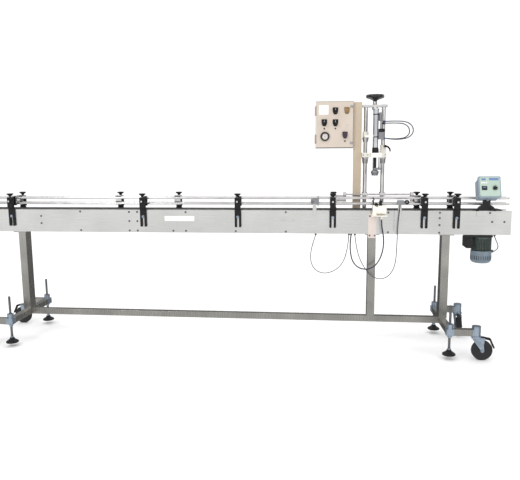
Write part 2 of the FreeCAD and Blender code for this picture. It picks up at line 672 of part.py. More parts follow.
def make_control_box():
    wall = "box_wall"
    outside = ("box_width", "box_depth", "box_height")
    corner = ("box_left", "box_front", "box_bottom")
    shell = cut("box_shell", block("box_outside", outside, corner),
                block("box_inside", [f"{size} - 2 * {wall}" for size in outside[:1]]
                      + ["box_depth - box_wall"] + [f"box_height - 2 * {wall}"],
                      ("box_left + box_wall", "box_front", "box_bottom + box_wall")))
    spacer = block("box_spacer", ("mast_x - mast_size / 2 - box_left - box_width", "mast_size",
                                  "box_height - 60"),
                   ("box_left + box_width", "rail_half_width", "box_bottom + 30"))
    tray = block("box_tray", ("box_width - 40", "4", "box_height - 40"),
                 ("box_left + 20", "box_front + box_depth - box_wall - 4", "box_bottom + 20"))
    pieces = [shell, spacer, tray]
    for number, (low, high) in enumerate(HINGE_SPANS, start=1):
        pieces.append(joined(f"box_hinge_{number}", [
            bar(f"box_knuckle_{number}", "hinge_radius", str((high - low) / 2),
                (f"box_left - {HINGE_OUT}", f"box_front - {HINGE_FORWARD}", f"box_bottom + {low}")),
            bar(f"box_pin_{number}", "hinge_pin", str(high - low),
                (f"box_left - {HINGE_OUT}", f"box_front - {HINGE_FORWARD}", f"box_bottom + {low}")),
            block(f"box_leaf_{number}", (str(HINGE_OUT), "3", str((high - low) / 2)),
                  (f"box_left - {HINGE_OUT}", "box_front + 1", f"box_bottom + {low}")),
            block(f"box_neck_{number}", ("3", str(HINGE_FORWARD + 2), str((high - low) / 2)),
                  (f"box_left - {HINGE_OUT} - 1.5", f"box_front - {HINGE_FORWARD}",
                   f"box_bottom + {low}"))]))
    node("control_box", together("control_box_pieces", pieces))


HINGE_OUT, HINGE_FORWARD = 7, 7
HINGE_SPANS = ((30, 90), (208, 268))


def on_door(across, up):
    """X and Z of a place on the door, measured from its lower left corner."""
    return D.box_left + across, D.box_bottom + up


KNOB_SPOTS = {"selector_upper": on_door(121, 238), "selector_left": on_door(51, 164),
              "selector_right": on_door(122, 163), "regulator_knob": on_door(184, 85)}
LAMP_SPOT, GAUGE_SPOT = on_door(194, 239), on_door(56, 76)
SMALL_LAMPS = (on_door(51, 126), on_door(122, 126), on_door(202, 156), on_door(184, 46))
LABEL_LOW, LABEL_HIGH = on_door(16, 214), on_door(78, 274)


def make_box_door():
    """The dished door with its hinge knuckles, and the fittings fixed to it."""
    front = "box_front - door_gap - door_depth"
    outer = block("door_outside", ("box_width", "door_depth", "box_height"),
                  ("box_left", front, "box_bottom"))
    inner = block("door_inside",
                  ("box_width - 2 * box_wall", "door_depth", "box_height - 2 * box_wall"),
                  ("box_left + box_wall", f"{front} + box_wall", "box_bottom + box_wall"))
    pieces = [cut("door_dish", outer, inner)]
    for number, (low, high) in enumerate(HINGE_SPANS, start=1):
        middle = (low + high) / 2 + 0.3
        height = str(high - middle)
        sleeve = joined(f"door_sleeve_{number}", [
            bar(f"door_knuckle_{number}", "hinge_radius", height,
                (f"box_left - {HINGE_OUT}", f"box_front - {HINGE_FORWARD}",
                 f"box_bottom + {middle}")),
            block(f"door_leaf_{number}", (str(HINGE_OUT), "3", height),
                  (f"box_left - {HINGE_OUT}", f"box_front - {HINGE_FORWARD} - 1.5",
                   f"box_bottom + {middle}"))])
        pieces.append(cut(f"door_hinge_{number}", sleeve, bar(
            f"door_bore_{number}", "hinge_pin + running_gap", height,
            (f"box_left - {HINGE_OUT}", f"box_front - {HINGE_FORWARD}",
             f"box_bottom + {middle}"))))
    node("box_door", joined("box_door_pieces", pieces))
    face = D.box_front - D.door_gap - D.door_depth
    gauge_radius, bezel, lens = 29, 18, 16
    fittings = [pin_between(gauge_radius, (GAUGE_SPOT[0], face - 10, GAUGE_SPOT[1]),
                            (GAUGE_SPOT[0], face, GAUGE_SPOT[1])),
                pin_between(lens, (LAMP_SPOT[0], face - 16, LAMP_SPOT[1]),
                            (LAMP_SPOT[0], face, LAMP_SPOT[1])),
                box_between((LABEL_LOW[0], LABEL_HIGH[0]), (face - 1, face),
                            (LABEL_LOW[1], LABEL_HIGH[1]))]
    fittings += [pin_between(5, (x, face - 5, z), (x, face, z)) for x, z in SMALL_LAMPS]
    fittings += [pin_between(bezel, (x, face - 5, z), (x, face, z)) for x, z in KNOB_SPOTS.values()]
    shaped("door_fittings", fittings)


def make_door_knobs():
    """Turning selectors and the regulator knob on the door."""
    for label, (x, z) in KNOB_SPOTS.items():
        radius = "16" if label == "regulator_knob" else "14"
        grip = turned(label + "_grip", [
            ("0", "0"), (radius, "0"), (radius, "16"), (f"{radius} - 2", "20"), ("0", "20")],
            (str(x), "box_front - door_gap - door_depth - 5.3", str(z)),
            Rotation(Vector(1, 0, 0), 90))
        bar_piece = block(label + "_wing", ("9", "10", f"2 * {radius} - 2"),
                          (f"{x} - 4.5", "box_front - door_gap - door_depth - 35",
                           f"{z} - {radius} + 1"))
        node(label, joined(label + "_piece", [grip, bar_piece]))


def make_columns():
    """Two bright columns clamped to the rear rail, joined by the top plate."""
    pieces = []
    for name, x in (("left", "column_left"), ("right", "column_right")):
        pieces.append(bar(name + "_column", "column_radius", "column_top - column_bottom",
                          (x, "column_y", "column_bottom")))
        for number, low in enumerate(("column_bottom + 6", "column_bottom + 92"), start=1):
            holder = block(f"{name}_holder_{number}", ("44", "column_y + 18 - rail_half_width", "30"),
                           (f"{x} - 22", "rail_half_width", low))
            pieces.append(cut(f"{name}_clamp_{number}", holder, bar(
                f"{name}_clamp_bore_{number}", "column_radius", "30", (x, "column_y", low))))
    middle = "(column_left + column_right) / 2"
    plate = block("top_plate_blank", ("column_right - column_left + 46", "50", "top_plate_height"),
                  ("column_left - 23", "column_y - 25", "top_plate_bottom"))
    boss = bar("top_plate_boss", "18", "16", (middle, "column_y", "top_plate_bottom - 16"))
    holes = together("top_plate_holes", [
        bar("top_plate_left_hole", "column_radius", "60", ("column_left", "column_y",
                                                           "top_plate_bottom - 20")),
        bar("top_plate_right_hole", "column_radius", "60", ("column_right", "column_y",
                                                            "top_plate_bottom - 20")),
        bar("top_plate_screw_hole", "screw_radius + running_gap", "60",
            (middle, "column_y", "top_plate_bottom - 20"))])
    pieces.append(cut("top_plate", joined("top_plate_solid", [plate, boss]), holes))
    node("column_frame", together("column_frame_pieces", pieces))


def make_handwheel():
    """The lobed handwheel on top, keyed to the lead screw."""
    plate_top = "top_plate_bottom + top_plate_height"
    middle = "(column_left + column_right) / 2"
    rim, high = "handwheel_radius", "handwheel_height"
    wheel = turned("handwheel_blank", [
        ("screw_radius", "24"), ("12", "24"), (f"{rim} - 18", f"{high} - 28"),
        (f"{rim} - 3", f"{high} - 22"), (rim, f"{high} - 16"), (rim, f"{high} - 6"),
        (f"{rim} - 6", high), ("screw_radius", high)], (middle, "column_y", plate_top))
    scallops = DOC.addObject("Part::Feature", "handwheel_scallops")
    centre_x = (D.column_left + D.column_right) / 2
    low = D.top_plate_bottom + D.top_plate_height
    lobes, bite = 6, 12
    scallops.Shape = Part.makeCompound([
        pin_between(bite, (centre_x + (D.handwheel_radius + 7) * math.cos(angle),
                           D.column_y + (D.handwheel_radius + 7) * math.sin(angle), low),
                    (centre_x + (D.handwheel_radius + 7) * math.cos(angle),
                     D.column_y + (D.handwheel_radius + 7) * math.sin(angle), low + 90))
        for angle in (math.radians(60 * lobe + 30) for lobe in range(lobes))])
    node("handwheel", cut("handwheel_piece", wheel, scallops))
    screw = bar("lead_screw_bar", "screw_radius",
                f"{plate_top} + handwheel_height - 10 - (cross_bottom - screw_reach)",
                (middle, "column_y", "cross_bottom - screw_reach"))
    collar = bar("lead_screw_collar", "13", "23.7", (middle, "column_y", f"{plate_top} + 0.3"))
    node("lead_screw", joined("lead_screw_piece", [screw, collar]))


def make_crosshead():
    """The carriage on the columns: yoke, conical bushes, upper guide arm and screw nut."""
    middle = "(column_left + column_right) / 2"
    x_mid = (D.column_left + D.column_right) / 2
    yoke = box_between((D.column_left - 24, D.column_right + 24),
                       (D.column_y - D.cross_depth / 2, D.column_y + D.cross_depth / 2),
                       (D.cross_bottom, CROSS_TOP))
    nose = box_between((D.head_x - 26, D.head_x + 40), (-26, D.column_y),
                       (D.cross_bottom, CROSS_TOP))
    lug = pin_between(20, (D.column_right, D.column_y, CROSS_TOP),
                      (D.column_right, D.column_y, CROSS_TOP + 50))
    carriage = yoke.multiFuse([nose, lug])
    guide_low = CROSS_TOP + 98
    arm = box_between((D.column_left - 12, D.column_left + 12), (-14, D.column_y),
                      (guide_low, guide_low + 12))
    link = box_between((D.column_left + 12, D.head_x - D.cylinder_radius + 3), (-14, 14),
                       (guide_low, guide_low + 12))
    guide = cone_bush(D.column_left, guide_low - 28).multiFuse([
        arm, link, pin_between(19, (D.column_left, D.column_y, guide_low),
                               (D.column_left, D.column_y, guide_low + 36))])
    for x in (D.column_left, D.column_right):
        carriage = carriage.fuse(cone_bush(x, D.cross_bottom - 40, 40))
    bores = [pin_between(D.column_radius + D.running_gap, (x, D.column_y, D.cross_bottom - 60),
                         (x, D.column_y, CROSS_TOP + 160)) for x in (D.column_left, D.column_right)]
    bores.append(pin_between(D.screw_radius + D.running_gap, (x_mid, D.column_y, D.cross_bottom - 60),
                             (x_mid, D.column_y, CROSS_TOP + 60)))
    bores.append(pin_between(D.cylinder_radius, (D.head_x, 0, CROSS_TOP + 40),
                             (D.head_x, 0, CROSS_TOP + 160)))
    bores.append(pin_between(D.ram_radius + D.running_gap, (D.head_x, 0, D.cross_bottom - 1),
                             (D.head_x, 0, CROSS_TOP + 1)))
    stay_x = D.head_x + D.stay_offset
    bores.append(pin_between(D.stay_radius + D.running_gap, (stay_x, 0, D.cross_bottom - 1),
                             (stay_x, 0, CROSS_TOP + 1)))
    tool = Part.makeCompound(bores)
    shaped("crosshead", [carriage.cut(tool).removeSplitter(), guide.cut(tool).removeSplitter()])


def cone_bush(x, low, height=28):
    """A conical flanged bush on a column, wide end up."""
    return Part.makeCone(D.column_radius + 3, 20, height, Vector(x, D.column_y, low))


def make_head_cylinder():
    """The pneumatic cylinder on the crosshead and the valve block at its side."""
    bore, radius = "ram_radius + running_gap", "cylinder_radius"
    cross_top = "cross_bottom + cross_height"
    node("head_cylinder", turned("head_cylinder_body", [
        (bore, "0"), (f"{radius} + 3", "0"), (f"{radius} + 3", "30"), (radius, "34"),
        (radius, "cylinder_height - 16"), (f"{radius} + 2", "cylinder_height - 14"),
        (f"{radius} + 2", "cylinder_height"), ("0", "cylinder_height"),
        ("0", "ram_length + 20"), (bore, "ram_length + 20")], ("head_x", "0", cross_top)))
    right = D.head_x + D.cylinder_radius
    base = CROSS_TOP + 84
    tube_space = pin_between(D.cylinder_radius, (D.head_x, 0, base - 1), (D.head_x, 0, base + 60))
    body = box_between((right - 3, right + 34), (-12, 18), (base, base + 46)).cut(tube_space)
    black = box_between((right + 2, right + 40), (-14, 20), (base + 46, base + 66))
    tower = pin_between(9, (right + 20, 3, base + 66), (right + 20, 3, base + 118))
    muffler = pin_between(11, (right + 11, 3, base + 114), (right + 11, 3, base + 168))
    elbow = pin_between(5, (right + 20, 8, base + 112), (HOSE_PORT_X, 8, base + 112))
    second = pin_between(5, (right + 20, -4, base + 100), (HOSE_PORT_X, -4, base + 100))
    port = pin_between(5, (right + 30, 8, base + 6), (HOSE_PORT_X, 8, base + 6))
    lower = pin_between(5, (right + 30, -6, base + 6), (HOSE_PORT_X, -6, base + 6))
    shaped("valve_block", [body.multiFuse([black, tower, muffler, elbow, second, port, lower])
                           .removeSplitter()])


HOSE_PORT_X = D.head_x + 62
HOSE_PORT_UPPER = (8, CROSS_TOP + 196)
HOSE_PORT_SECOND = (-4, CROSS_TOP + 184)
HOSE_PORT_LOW = (8, CROSS_TOP + 90)
HOSE_PORT_LOWER = (-6, CROSS_TOP + 90)


def make_ram():
    """The ram with its stay rod and yoke, and the chuck that turns below it."""
    chuck_top = "cross_bottom - 78"
    ram = bar("ram_bar", "ram_radius", "ram_length", ("head_x", "0", chuck_top))
    stay = bar("stay_bar", "stay_radius", "ram_length - 10", ("head_x + stay_offset", "0", chuck_top))
    yoke = block("ram_yoke", ("stay_offset + 34", "28", "12"), ("head_x - 14", "-14", chuck_top))
    node("ram", joined("ram_piece", [ram, stay, yoke]))
    radius, high, deep = "chuck_radius", "chuck_height", "chuck_bore_depth"
    node("chuck", turned("chuck_body", [
        ("chuck_bore", "0"), (f"{radius} - 6", "0"), (f"{radius} - 4", "3"), (f"{radius} - 4", "12"),
        (radius, "15"), (radius, f"{high} - 12"), (f"{radius} - 9", f"{high} - 2"),
        (f"{radius} - 11", high), ("0", high), ("0", deep), ("chuck_bore", deep)],
        ("head_x", "0", f"{chuck_top} - 0.3 - chuck_height")))


def make_clamp_lever():
    """The crosshead's curved clamping lever."""
    x, z = LEVER_PIVOT
    hub = pin_between(8, (x, LEVER_Y - 12, z), (x, LEVER_Y, z))
    outline = [(x + 4, z + 6), (x + 22, z - 2), (x + 32, z - 16), (x + 36, z - 34),
               (x + 29, z - 36), (x + 24, z - 20), (x + 16, z - 10), (x, z - 7)]
    wire = Part.makePolygon([Vector(along, LEVER_Y - 11, up) for along, up in outline + outline[:1]])
    arm = Part.Face(wire).extrude(Vector(0, 9, 0))
    shaped("clamp_lever", [hub.fuse(arm).removeSplitter()])


LEVER_PIVOT = (D.column_right + 13, CROSS_TOP + 42)
LEVER_Y = D.column_y - 20.3


def make_bottle_clamp():
    """The clamp cylinder on its shelf, and the rod and pad that hold a bottle."""
    x, z, radius = D.clamp_x, D.clamp_z, D.clamp_body_radius
    half = D.clamp_body_length / 2
    face = -D.rail_half_width
    y = face - 47
    body = pin_between(radius, (x - half, y, z), (x + half, y, z))
    block_part = box_between((x - half, x - half + 26), (y - 28, y + 28),
                             (RAIL_TOP - 22, z + radius))
    nose = pin_between(12, (x, y, z + 8), (x, face - 7, z + 8))
    ring = pin_between(11, (x - 22, y - 28, z + 34), (x - 22, y - 8, z + 34))
    box = box_between((x - 2, x + 15), (y - 14, y + 8), (z + 26, z + 58))
    port = pin_between(8, (x + 14, y - 8, RAIL_TOP - 48), (x + 14, y - 8, RAIL_TOP - 28))
    bore = pin_between(D.push_rod_radius + D.running_gap, (x, y - 38, z + 8),
                       (x, face + 5, z + 8))
    solid = body.multiFuse([block_part, nose, box, ring]).cut(bore).removeSplitter()
    solids = [solid, port]
    shaped("clamp_cylinder", solids)
    rod = pin_between(D.push_rod_radius, (x, y - 8, z + 8), (x, face + 5, z + 8))
    pad = pin_between(D.push_pad_radius, (x, face + 5, z + 8), (x, face + 15, z + 8))
    shaped("clamp_pad", [rod.fuse(pad).removeSplitter()])


def make_sensors():
    """Two photo sensors on stems from the front rail."""
    face = -D.rail_half_width
    back, middle, z = face - 7, face - 16, RAIL_TOP
    first = box_between((560, 612), (face - 25, back), (z + 42, z + 74)).multiFuse([
        box_between((572, 596), (back, face), (z - 32, z + 68)),
        pin_between(3, (606, middle, z + 28), (606, middle, z + 94))])
    second = box_between((1100, 1142), (face - 25, back), (z + 40, z + 68)).multiFuse([
        box_between((1108, 1130), (back, face), (z - 32, z + 62)),
        pin_between(14, (1160, face - 27, z + 56), (1160, back, z + 56)),
        pin_between(7, (1142, middle, z + 56), (1160, middle, z + 56))])
    shaped("photo_sensors", [first.removeSplitter(), second.removeSplitter()])


# ---------------------------------------------------------------- speed controller

# The controller's own frame: origin under the middle of its cover, tilted back.
SPEED_FRAME = Placement(Vector(D.speed_x, D.speed_front, D.speed_bottom),
                        Rotation(Vector(1, 0, 0), -D.speed_tilt))
SWITCH_SPOT, DIAL_SPOT = (-32, 58), (30, 58)


def make_speed_controller():
    half, lid = D.speed_width / 2, 26
    case = box_between((-half + 4, half - 4), (lid, D.speed_depth), (6, D.speed_height - 6))
    cover = box_between((-half, half), (0, lid), (0, D.speed_height))
    hole = box_between((SWITCH_SPOT[0] - 13, SWITCH_SPOT[0] + 13), (-1, 12),
                       (SWITCH_SPOT[1] - 10, SWITCH_SPOT[1] + 10))
    box = cover.fuse(case).cut(hole).removeSplitter()
    shaped("speed_box", [box], SPEED_FRAME)
    dial = pin_between(9, (DIAL_SPOT[0], -16, DIAL_SPOT[1]), (DIAL_SPOT[0], -0.3, DIAL_SPOT[1]))
    pointer = box_between((DIAL_SPOT[0] - 2.5, DIAL_SPOT[0] + 2.5), (-19, -10),
                          (DIAL_SPOT[1] - 9, DIAL_SPOT[1] + 14))
    shaped("speed_dial", [dial.fuse(pointer).removeSplitter()], SPEED_FRAME)
    rocker = box_between((SWITCH_SPOT[0] - 12, SWITCH_SPOT[0] + 12), (-3, 8),
                         (SWITCH_SPOT[1] - 8.5, SWITCH_SPOT[1] + 8.5))
    shaped("power_rocker", [rocker], SPEED_FRAME)
    x, face, z = D.speed_x, -D.rail_half_width, RAIL_TOP
    front, back = face - 31, face - 4
    outer = pin_between(62, (x, front, z - 18), (x, back, z - 18))
    inner = pin_between(48, (x, front - 1, z - 18), (x, back + 1, z - 18))
    sill = box_between((x - 90, x + 90), (face - 135, 0), (z - 114, z + 2))
    web = box_between((x - 34, x + 34), (back - 8, back), (z + 2, z + 30))
    stem = box_between((x - 22, x + 22), (face - 29, face - 11), (z + 38, z + 81))
    placed_case = case.copy()
    placed_case.Placement = SPEED_FRAME
    arch = outer.cut(inner).cut(sill).multiFuse([web, stem]).cut(placed_case)
    shaped("speed_bracket", [arch.removeSplitter()])


# ---------------------------------------------------------------- hoses and cables

CORDS = {
    "motor_conduit": (6, ((1706, -57, 736), (1714, -54, 714), (1728, -48, 690), (1737, -39, 666),
                          (1732, -29, 643), (1708, -18, 627))),
    "head_hose_upper": (6.5, ((1026, 8, 1452), (1092, 6, 1454), (1158, 3, 1448), (1194, 0, 1420),
                            (1198, 0, 1378), (1170, 2, 1349), (1124, 5, 1340), (1074, 8, 1339),
                            (1026, 8, 1346))),
    "head_hose_lower": (6.5, ((1026, -4, 1440), (1082, -5, 1441), (1138, -8, 1437), (1170, -10, 1412),
                            (1173, -12, 1374), (1148, -12, 1349), (1108, -10, 1343),
                            (1066, -8, 1342), (1026, -6, 1346))),
    "left_sensor_cable": (5, ((592, -57, 736), (577, -58, 690), (564, -60, 640), (558, -60, 588),
                              (568, -60, 534), (600, -60, 496), (648, -60, 482), (696, -60, 492),
                              (740, -60, 520), (772, -60, 562), (790, -59, 620), (800, -58, 680),
                              (804, -57, 736))),
    "station_hose": (8, ((818, -57, 736), (812, -68, 684), (814, -84, 628), (826, -98, 572),
                         (862, -105, 532), (914, -108, 520), (964, -110, 540), (996, -112, 584),
                         (1014, -116, 640), (1020, -119, 700), (1014, -120, 756),
                         (1004, -120, 800), (1002, -120, 846))),
    "right_sensor_cable": (5, ((842, -57, 736), (848, -66, 690), (858, -76, 634), (880, -84, 570),
                               (916, -90, 510), (958, -94, 470), (1004, -96, 456),
                               (1050, -96, 472), (1082, -95, 512), (1098, -94, 566),
                               (1103, -93, 630), (1104, -92, 690), (1106, -90, 750),
                               (1108, -86, 812), (1114, -82, 872), (1119, -81, 934))),
}


def cord_solid(name, diameter, points):
    """A tube along straight runs joined by tangent arcs; prints its radii and its fill."""
    corners = [Vector(*point) for point in points]
    edges, radii, here = [], [], corners[0]
    for before, corner, after in zip(corners, corners[1:], corners[2:]):
        into, out = (corner - before).normalize(), (after - corner).normalize()
        half_turn = into.getAngle(out) / 2
        run = min((corner - before).Length, (after - corner).Length)
        radius = 0.45 * run / math.tan(half_turn)
        radii.append(round(radius))
        start, end = corner - into * 0.45 * run, corner + out * 0.45 * run
        towards = (out - into).normalize()
        middle = corner + towards * (radius / math.cos(half_turn) - radius)
        edges += [Part.LineSegment(here, start).toShape(), Part.Arc(start, middle, end).toShape()]
        here = end
    edges.append(Part.LineSegment(here, corners[-1]).toShape())
    path = Part.Wire(edges)
    ring = Part.Wire([Part.Circle(corners[0], corners[1] - corners[0], diameter / 2).toShape()])
    solid = path.makePipeShell([ring], True, False)
    fill = solid.Volume / (math.pi * diameter ** 2 / 4 * path.Length)
    print(f"{name}: length {path.Length:.0f}, least radius {min(radii)}, radii {radii}, "
          f"volume over section times length {fill:.4f}")
    return solid


def make_cords():
    """Free hoses and cables, each between two fittings."""
    for name, (diameter, points) in CORDS.items():
        shaped(name, [cord_solid(name, diameter, points)])


# ---------------------------------------------------------------- build and write

def check_document():
    """Stop if any object failed, or a sub-part's shape is empty or invalid."""
    DOC.recompute()
    failed = [item.Name for item in DOC.Objects if {"Invalid", "Error"} & set(item.State)]
    for piece in NODES:
        if piece.Shape.isNull() or not piece.Shape.isValid() or piece.Shape.Volume <= 0:
            failed.append(piece.Label)
    if failed:
        raise RuntimeError(f"these pieces failed: {failed}")


def write_parts():
    os.makedirs("parts", exist_ok=True)
    for piece in NODES:
        piece.Shape.exportStep(f"parts/{piece.Label}.step")
    print(f"{len(NODES)} sub-parts written")


make_rails()
make_rail_bolts()
make_chain_bed()
make_slat_chain()
make_shafts()
make_bearings()
make_guide_rails()
make_guide_brackets()
make_third_rod()
make_frame()
make_base_clamps()
make_levelling_feet()
make_casters()
make_drive()
make_mast()
make_rail_plates()
make_control_box()
make_box_door()
make_door_knobs()
make_columns()
make_handwheel()
make_crosshead()
make_head_cylinder()
make_ram()
make_clamp_lever()
make_bottle_clamp()
make_sensors()
make_speed_controller()
make_cords()
check_document()
write_parts()
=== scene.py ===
from math import cos, pi, radians, sin

import bmesh
import bpy
from mathutils import Matrix, Vector


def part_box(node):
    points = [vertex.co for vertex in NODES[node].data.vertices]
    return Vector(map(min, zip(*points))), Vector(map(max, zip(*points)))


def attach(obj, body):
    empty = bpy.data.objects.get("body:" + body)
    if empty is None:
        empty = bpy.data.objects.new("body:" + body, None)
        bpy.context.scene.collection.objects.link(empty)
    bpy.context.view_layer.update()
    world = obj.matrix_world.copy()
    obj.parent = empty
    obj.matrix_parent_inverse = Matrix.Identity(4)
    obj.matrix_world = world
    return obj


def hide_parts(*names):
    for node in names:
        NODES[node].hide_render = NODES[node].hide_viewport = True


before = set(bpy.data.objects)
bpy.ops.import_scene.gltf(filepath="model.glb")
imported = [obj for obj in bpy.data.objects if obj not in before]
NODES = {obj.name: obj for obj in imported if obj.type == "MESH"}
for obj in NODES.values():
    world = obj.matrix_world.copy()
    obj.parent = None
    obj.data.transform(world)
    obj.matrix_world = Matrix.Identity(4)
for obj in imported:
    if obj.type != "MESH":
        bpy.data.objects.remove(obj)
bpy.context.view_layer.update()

# An inline capping machine: a slat-chain conveyor, its guide rails, a pneumatic capping head
# and a control box. Sizes are in millimetres and become metres as each mesh is made.
MM = 0.001
CREASE = 0.6         # radians between two faces, above which their edge shows
CASTERS = ("front_left", "front_right", "rear_left", "rear_right")


# ---- material helpers

def linear(hex_colour):
    """A linear RGBA colour from an sRGB hex value."""
    channels = [int(hex_colour[place:place + 2], 16) / 255 for place in (1, 3, 5)]
    return [c / 12.92 if c <= 0.04045 else ((c + 0.055) / 1.055) ** 2.4 for c in channels] + [1]


def add(tree, kind, inputs=None, **settings):
    """Add a node with its settings; each input is a value or another node's output."""
    new = tree.nodes.new(kind)
    for name, value in settings.items():
        setattr(new, name, value)
    for name, value in (inputs or {}).items():
        if isinstance(value, bpy.types.NodeSocket):
            tree.links.new(value, new.inputs[name])
        else:
            new.inputs[name].default_value = value
    return new


def grain(tree, size_mm, stretch=(1, 1, 1), detail=3.0):
    """Noise whose blotches are about size_mm across, longer where stretch is above one."""
    place = add(tree, "ShaderNodeTexCoord")
    scaled = add(tree, "ShaderNodeMapping", {"Vector": place.outputs["Object"],
        "Scale": [1 / (size_mm * MM * longer) for longer in stretch]})
    return add(tree, "ShaderNodeTexNoise", {"Vector": scaled.outputs["Vector"], "Scale": 1.0,
        "Detail": detail}).outputs["Fac"]


def spread(tree, value, low, high, start=0.3, end=0.7):
    """A value that runs from low to high as another one runs from start to end."""
    return add(tree, "ShaderNodeMapRange", {"Value": value, "From Min": start, "From Max": end,
        "To Min": low, "To Max": high}, clamp=True).outputs["Result"]


def maths(tree, operation, *values):
    """One math node over its values."""
    return add(tree, "ShaderNodeMath", dict(enumerate(values)), operation=operation).outputs[0]


def finish(name, colour, shade, grain_mm, rough, stretch=(1, 1, 1), bump_mm=0.02, blotch_mm=90,
        **shader):
    """One real finish: fine grain in colour, roughness and bump, over broad soft blotches."""
    material = bpy.data.materials.new(name)
    material.use_nodes = True
    tree = material.node_tree
    tree.nodes.clear()
    fine = grain(tree, grain_mm, stretch)
    broad = grain(tree, blotch_mm, detail=2.0)
    half = maths(tree, "MULTIPLY", maths(tree, "ADD", fine, broad), 0.5)
    tint = add(tree, "ShaderNodeMix", {"Factor": spread(tree, half, 0.0, 1.0), 6: linear(colour),
        7: linear(shade)}, data_type="RGBA")
    relief = add(tree, "ShaderNodeBump", {"Height": fine, "Distance": bump_mm * MM,
        "Strength": 0.6})
    principled = add(tree, "ShaderNodeBsdfPrincipled", {"Base Color": tint.outputs[2],
        "Roughness": spread(tree, fine, *rough), "Normal": relief.outputs["Normal"]})
    for socket, value in shader.items():
        principled.inputs[socket.replace("_", " ")].default_value = value
    add(tree, "ShaderNodeOutputMaterial", {"Surface": principled.outputs[0]})
    return material


# ---- finishes

